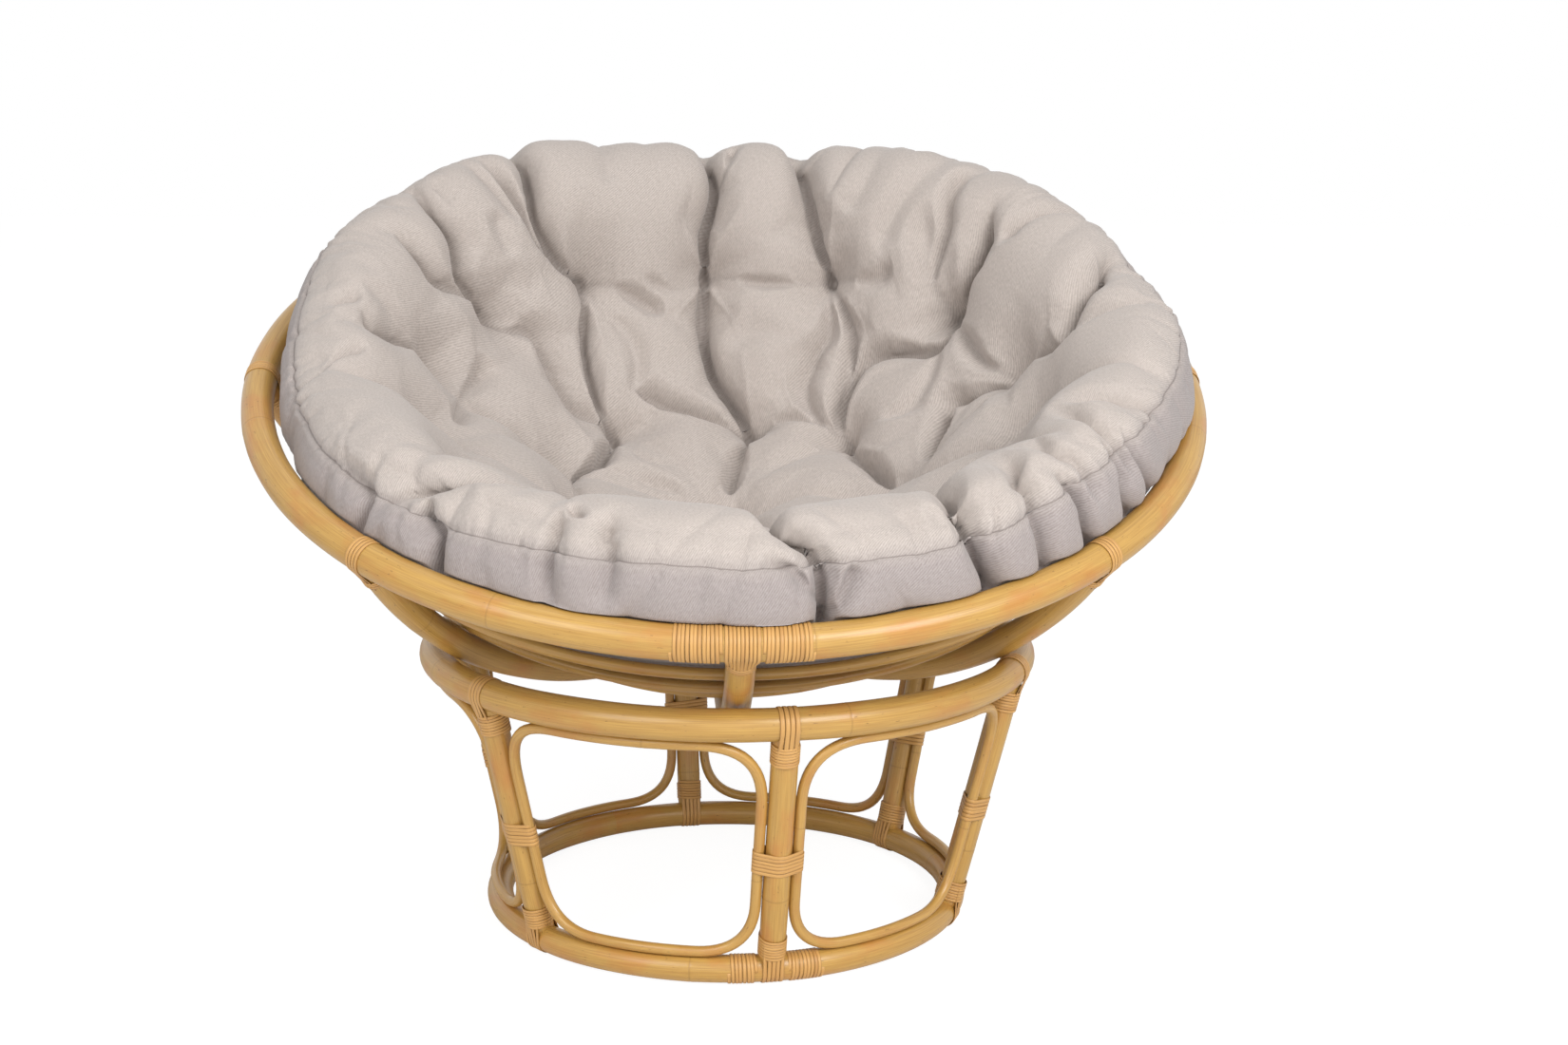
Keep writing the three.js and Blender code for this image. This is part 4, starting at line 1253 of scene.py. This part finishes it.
COVER_GRID = 250
COVER_FRAMES = 20
CLOTH = {
    "quality": 6, "mass": 0.25, "tension_stiffness": 18.0, "compression_stiffness": 18.0,
    "shear_stiffness": 8.0, "bending_stiffness": 0.25, "air_damping": 2.0,
    "use_pressure": True, "uniform_pressure_force": 4.0,
    "vertex_group_mass": "held", "pin_stiffness": 1.0,
    "shrink_min": -0.08, "shrink_max": 0.0, "vertex_group_shrink": "seam",
}
WEIGHT_STEPS = 20
MOST_MOVED = 26.0
SMOOTHING = 14
WRINKLES_LEFT = 0.18

# Space kept between the cover and the rim's pole, and the furthest that it reaches out to the ribs
RIM_SPACE = 2.6
UNDER_REACH = 566.0
UNDER_RINGS = 12

# The crown stands higher on both sides of the back, by azimuth from the front, and the seam hangs
# lower in front and lies further in at the left
CROWN_RISE = ((0, 0), (80, 0), (105, 20), (125, 31), (150, 28), (168, 8), (180, 3))
SEAM_DROP = ((-105, 0), (-88, 14), (-75, 32), (-48, 36), (-33, 29), (-20, 22), (30, 22), (45, 8), (60, 0))
LEFT_INSET = 26.0
LEFT_PLACE = -88.0
LEFT_SPREAD = 28.0
CROWN_START = 330.0
SEAM_START = 430.0

# The seam: half width of the band that isn't let out when the cover is inflated, depth and half
# width of the stitch line, and height, half width and place of the rolls beside it
SEAM_WIDTH = 8.0
STITCH_DEPTH, STITCH_WIDTH = 2.4, 2.6
ROLL_HEIGHT, ROLL_WIDTH, ROLL_OFF = 0.9, 4.0, 7.0


def shift_section(section, along, azimuth):
    """Moves the even pad's section to the lopsided form of the used one."""
    turn = np.degrees(wrap(azimuth))
    top = ramp(along - CROWN_START, 80.0) * ramp(PROFILE_LENGTH - along, 100.0)
    rise = np.interp(np.abs(turn), *np.array(CROWN_RISE, float).T)
    low = ramp(along - SEAM_START, SEAM_ALONG - SEAM_START) * ramp(PROFILE_LENGTH - along, 60.0)
    drop = np.interp(turn, *np.array(SEAM_DROP, float).T)
    inset = LEFT_INSET * bell(turn - LEFT_PLACE, LEFT_SPREAD)
    return section + np.stack([-inset * low, rise * top - drop * low], axis=-1)


def weight_group(piece, name, weights):
    group = piece.vertex_groups.new(name=name)
    steps = np.round(weights * WEIGHT_STEPS).astype(int)
    for step in range(1, WEIGHT_STEPS + 1):
        chosen = np.nonzero(steps == step)[0]
        if len(chosen):
            group.add(chosen.tolist(), step / WEIGHT_STEPS, "REPLACE")


def even_out(grid, passes):
    """Averages each point of a grid with its neighbours, again and again."""
    for _ in range(passes):
        middle = grid[1:-1, 1:-1]
        beside = grid[:-2, 1:-1] + grid[2:, 1:-1] + grid[1:-1, :-2] + grid[1:-1, 2:]
        grid = grid.copy()
        grid[1:-1, 1:-1] = 0.5 * middle + 0.125 * beside
    return grid


def inflate(points, faces, hold, seam):
    """The cover as cloth that the filling pushes out between the places where it is held.
    The finest of its wrinkles are evened out, as the padding under the real cover does."""
    mesh = bpy.data.meshes.new("cover_trial")
    mesh.from_pydata((points / METRE).tolist(), [], faces)
    trial = linked("cover_trial", mesh)
    scene = bpy.context.scene
    weight_group(trial, "held", hold)
    weight_group(trial, "seam", seam)
    modifier = trial.modifiers.new("cover", "CLOTH")
    modifier.point_cache.frame_start = 1
    modifier.point_cache.frame_end = COVER_FRAMES
    for setting, value in CLOTH.items():
        setattr(modifier.settings, setting, value)
    modifier.settings.effector_weights.gravity = 0.0
    modifier.collision_settings.use_collision = False
    modifier.collision_settings.use_self_collision = False
    for number in range(1, COVER_FRAMES + 1):
        scene.frame_set(number)
    moved = np.empty(3 * len(points))
    evaluated = trial.evaluated_get(bpy.context.evaluated_depsgraph_get())
    evaluated.data.vertices.foreach_get("co", moved)
    scene.frame_set(1)
    bpy.data.objects.remove(trial)
    bpy.data.meshes.remove(mesh)
    shift = moved.reshape(-1, 3) * METRE - points
    smooth = even_out(shift.reshape(COVER_GRID, COVER_GRID, 3), SMOOTHING).reshape(-1, 3)
    shift = WRINKLES_LEFT * shift + (1.0 - WRINKLES_LEFT) * smooth
    length = np.linalg.norm(shift, axis=1, keepdims=True)
    return points + shift * np.minimum(1.0, MOST_MOVED / np.maximum(length, 1e-6))


def finer_grid(values):
    """Twice as many points each way, on a smooth surface through the given ones."""
    for axis in (0, 1):
        values = np.swapaxes(values, 0, axis)
        size = len(values)
        fine = np.empty((2 * size - 1,) + values.shape[1:])
        fine[::2] = values
        fine[1::2] = 0.5 * (values[:-1] + values[1:])
        fine[3:-3:2] = (9.0 * (values[1:-2] + values[2:-1]) - values[:-3] - values[3:]) / 16.0
        values = np.swapaxes(fine, 0, axis)
    return values


def grid_faces(count, flipped):
    corner = np.arange(count * count).reshape(count, count)
    around_face = [corner[:-1, :-1], corner[:-1, 1:], corner[1:, 1:], corner[1:, :-1]]
    if flipped:
        around_face.reverse()
    return [tuple(face) for face in np.stack(around_face, axis=-1).reshape(-1, 4).tolist()]


def grid_normals(grid):
    normals = np.cross(np.gradient(grid, axis=0), np.gradient(grid, axis=1))
    normals = normals / np.maximum(np.linalg.norm(normals, axis=-1, keepdims=True), 1e-9)
    middle = normals[len(normals) // 2, len(normals) // 2]
    return normals * math.copysign(1.0, middle[2])


def keep_clear(points):
    """Draws the cover back from the rim's cane and from the ribs and hoops under it."""
    local = out_of_bowl(points)
    radius = np.hypot(local[..., 0], local[..., 1])
    height = local[..., 2]
    off_radius, off_height = radius - RIM["radius"], height - RIM["height"]
    distance = np.hypot(off_radius, off_height)
    space = RIM["pole"] + RIM_SPACE
    push = np.maximum(space / np.maximum(distance, 1e-6), 1.0)
    new_radius = RIM["radius"] + off_radius * push
    new_height = RIM["height"] + off_height * push
    reach = np.hypot(new_radius, new_height)
    pull = np.where(new_height < RIM["height"] - 1.0, np.minimum(UNDER_REACH / reach, 1.0), 1.0)
    scale = new_radius * pull / np.maximum(radius, 1e-6)
    moved = np.stack([local[..., 0] * scale, local[..., 1] * scale, new_height * pull], axis=-1)
    return in_bowl(moved)


def cover_frame(count):
    """Azimuth of each grid point, its way from the middle along the section, and its flat place."""
    flat = np.stack(disc_grid(count), axis=-1).reshape(-1, 2)
    return np.arctan2(flat[:, 0], -flat[:, 1]), np.hypot(*flat.T) * PROFILE_LENGTH, flat * PROFILE_LENGTH


def designed_top(along, azimuth):
    """The cover as it is drawn in, and how firmly it is held."""
    slope = unit(points_at(along, profile_along, np.gradient(profile, profile_along, axis=0)))
    inward = np.stack([slope[:, 1], -slope[:, 0]], axis=-1)
    depth, hold = cushion_depth(along, azimuth)
    depth += gather_depth(along, azimuth) - filling_lumps(seat_directions(along, azimuth))
    depth *= ramp(PROFILE_LENGTH - along, 25.0)
    section = points_at(along, profile_along, profile) + depth[:, None] * inward
    section = shift_section(section, along, azimuth)
    hold = np.maximum(hold, ramp(along - PROFILE_LENGTH + 24.0, 12.0))
    return in_bowl(settle(around(section[:, 0], azimuth, section[:, 1]))), hold


def finer_top(top, along, azimuth):
    """The inflated cover on a finer grid, with its grooves, gathers and sewn seam."""
    top = finer_grid(top)
    off = np.abs(along - SEAM_ALONG)
    detail = gather_depth(along, azimuth, finer=0.5) + fold_grooves(along, azimuth)[0]
    detail += STITCH_DEPTH * bell(off, STITCH_WIDTH) - ROLL_HEIGHT * bell(off - ROLL_OFF, ROLL_WIDTH)
    return (top - detail.reshape(*top.shape[:2], 1) * grid_normals(top)).reshape(-1, 3)


def grid_edge(count):
    """Corners round a grid's edge in order."""
    corner = np.arange(count * count).reshape(count, count)
    return np.concatenate([corner[:-1, 0], corner[-1, :-1], corner[:0:-1, -1], corner[0, :0:-1]]).tolist()


def underside(edge, azimuth, total):
    """Rings of the underside from the cover's edge in to the middle, with their faces."""
    lower_angle = math.atan2(profile[-1, 0], -profile[-1, 1])
    azimuth = azimuth[edge]
    points, faces = [], []
    for share in np.linspace(0.96, 0.02, UNDER_RINGS):
        points.append(in_bowl(settle(CUSHION_REACH * direction(lower_angle * share, azimuth))))
        inner = list(range(total, total + len(edge)))
        total += len(edge)
        faces += zip(edge, edge[1:] + edge[:1], inner[1:] + inner[:1], inner)
        edge = inner
    return np.concatenate(points), faces + [tuple(edge)]


def cushion():
    count = COVER_GRID
    azimuth, along, flat = cover_frame(count)
    top, hold = designed_top(along, azimuth)
    faces = grid_faces(count, False)
    middle = top[list(faces[len(faces) // 2][:3])]
    turned = np.cross(middle[1] - middle[0], middle[2] - middle[0])[2] < 0.0
    seam = np.clip(1.3 - np.abs(along - SEAM_ALONG) / SEAM_WIDTH, 0.0, 1.0)
    top = inflate(top, grid_faces(count, turned), hold, seam).reshape(count, count, 3)
    count = 2 * count - 1
    azimuth, along, flat = cover_frame(count)
    top = finer_top(top, along, azimuth)
    top = keep_clear(top)
    below, under = underside(grid_edge(count), azimuth, len(top))
    faces = grid_faces(count, turned) + (under if turned else [face[::-1] for face in under])
    mesh = bpy.data.meshes.new("cushion_cover")
    mesh.from_pydata((np.concatenate([top, below]) / METRE).tolist(), [], faces)

    # The cloth's own places: flat on the top and the side, from above on the underside
    cloth = np.ones((len(top) + len(below), 3))
    cloth[:len(top)] = np.pad(flat, ((0, 0), (0, 1)))
    cloth[len(top):, :2] = below[:, :2]
    mesh.attributes.new("cloth", "FLOAT_VECTOR", "POINT").data.foreach_set("vector", cloth.ravel())
    # painted shade of the closed folds, kept on the cover for its material
    painted_fold_shade = np.concatenate([fold_grooves(along, azimuth)[1], np.zeros(len(below))])
    mesh.attributes.new("painted_fold_shade", "FLOAT", "POINT").data.foreach_set("value", painted_fold_shade)
    mesh.shade_smooth()
    mesh.materials.append(twill)
    piece = linked("cushion_cover", mesh)
    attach(piece, "cushion")
    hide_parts("cushion")


cushion()


# Floor, light and camera

FLOOR_REACH = 12.0
LIGHT_TARGET = np.array([0.0, 0.0, 0.4])


def floor():
    material, tree = new_material("matt studio floor")
    diffuse = add(tree, "ShaderNodeBsdfDiffuse", {"Color": (0.9, 0.9, 0.9, 1.0)}).outputs["BSDF"]
    glow = add(tree, "ShaderNodeEmission", {"Color": (1.0, 1.0, 1.0, 1.0), "Strength": 1.15})
    path = add(tree, "ShaderNodeLightPath")
    seen = combined(tree, "MULTIPLY", path.outputs["Is Camera Ray"], 0.8)
    surface = add(tree, "ShaderNodeMixShader", {"Fac": seen, 1: diffuse, 2: glow.outputs["Emission"]})
    finish_material(tree, surface.outputs["Shader"])
    corners = [(x * FLOOR_REACH, y * FLOOR_REACH, 0.0) for x, y in ((-1, -1), (1, -1), (1, 1), (-1, 1))]
    mesh = bpy.data.meshes.new("studio_floor")
    mesh.from_pydata(corners, [], [(0, 1, 2, 3)])
    mesh.materials.append(material)
    linked("studio_floor", mesh)


def world():
    sky = bpy.data.worlds.new("white studio")
    sky.use_nodes = True
    tree = sky.node_tree
    tree.nodes.clear()
    path = add(tree, "ShaderNodeLightPath").outputs
    seen = combined(tree, "MAXIMUM", path["Is Camera Ray"], path["Is Glossy Ray"])
    seen = combined(tree, "MAXIMUM", seen, path["Is Transmission Ray"])
    background = add(tree, "ShaderNodeBackground", {
        "Color": (1.0, 1.0, 1.0, 1.0), "Strength": ranged(tree, seen, 0.0, 1.0, 0.45, 1.0),
    }).outputs["Background"]
    output = add(tree, "ShaderNodeOutputWorld")
    tree.links.new(background, output.inputs["Surface"])
    bpy.context.scene.world = sky


def stand(name, data, place, right, up, back):
    """A lamp or the camera at its place, with its three directions."""
    holder = linked(name, data)
    holder.matrix_world = Matrix(np.vstack([np.stack([right, up, back, place], axis=-1), (0, 0, 0, 1)]))
    return holder


def area_light(name, place, size, power):
    lamp = bpy.data.lights.new(name, "AREA")
    lamp.shape = "DISK"
    lamp.size = size
    lamp.energy = power
    back = unit(np.array(place) - LIGHT_TARGET)
    right = unit(np.cross((0.0, 0.0, 1.0), back))
    stand(name, lamp, place, right, np.cross(back, right), back)


# The camera that was fitted to the rings of the photographed chair: its place in metres and its
# angles in radians
CAMERA_PLACE = (-0.086, -2.5716 + BASE_AXIS_Y / METRE, 0.9475)
CAMERA_YAW = 0.0576
CAMERA_PITCH = 0.1932
CAMERA_ROLL = 0.011


def camera():
    across = math.cos(CAMERA_PITCH)
    ahead = np.array([math.sin(CAMERA_YAW) * across, math.cos(CAMERA_YAW) * across, -math.sin(CAMERA_PITCH)])
    right = np.array([math.cos(CAMERA_YAW), -math.sin(CAMERA_YAW), 0.0])
    right = right * math.cos(CAMERA_ROLL) + np.cross(right, ahead) * math.sin(CAMERA_ROLL)
    data = bpy.data.cameras.new("photo_camera")
    data.sensor_width = 36.0
    data.lens = 53.34
    holder = stand("photo_camera", data, CAMERA_PLACE, right, np.cross(right, ahead), -ahead)
    bpy.context.scene.camera = holder


floor()
world()
area_light("key_softbox", (1.6, -2.7, 2.3), 1.9, 88.0)
area_light("fill_softbox", (-1.9, -2.7, 2.2), 1.9, 44.0)
area_light("top_softbox", (-0.2, 0.0, 3.4), 2.2, 10.0)
area_light("low_card", (0.0, -3.3, 0.45), 2.4, 12.0)
camera()
bpy.context.scene.view_settings.view_transform = "Standard"
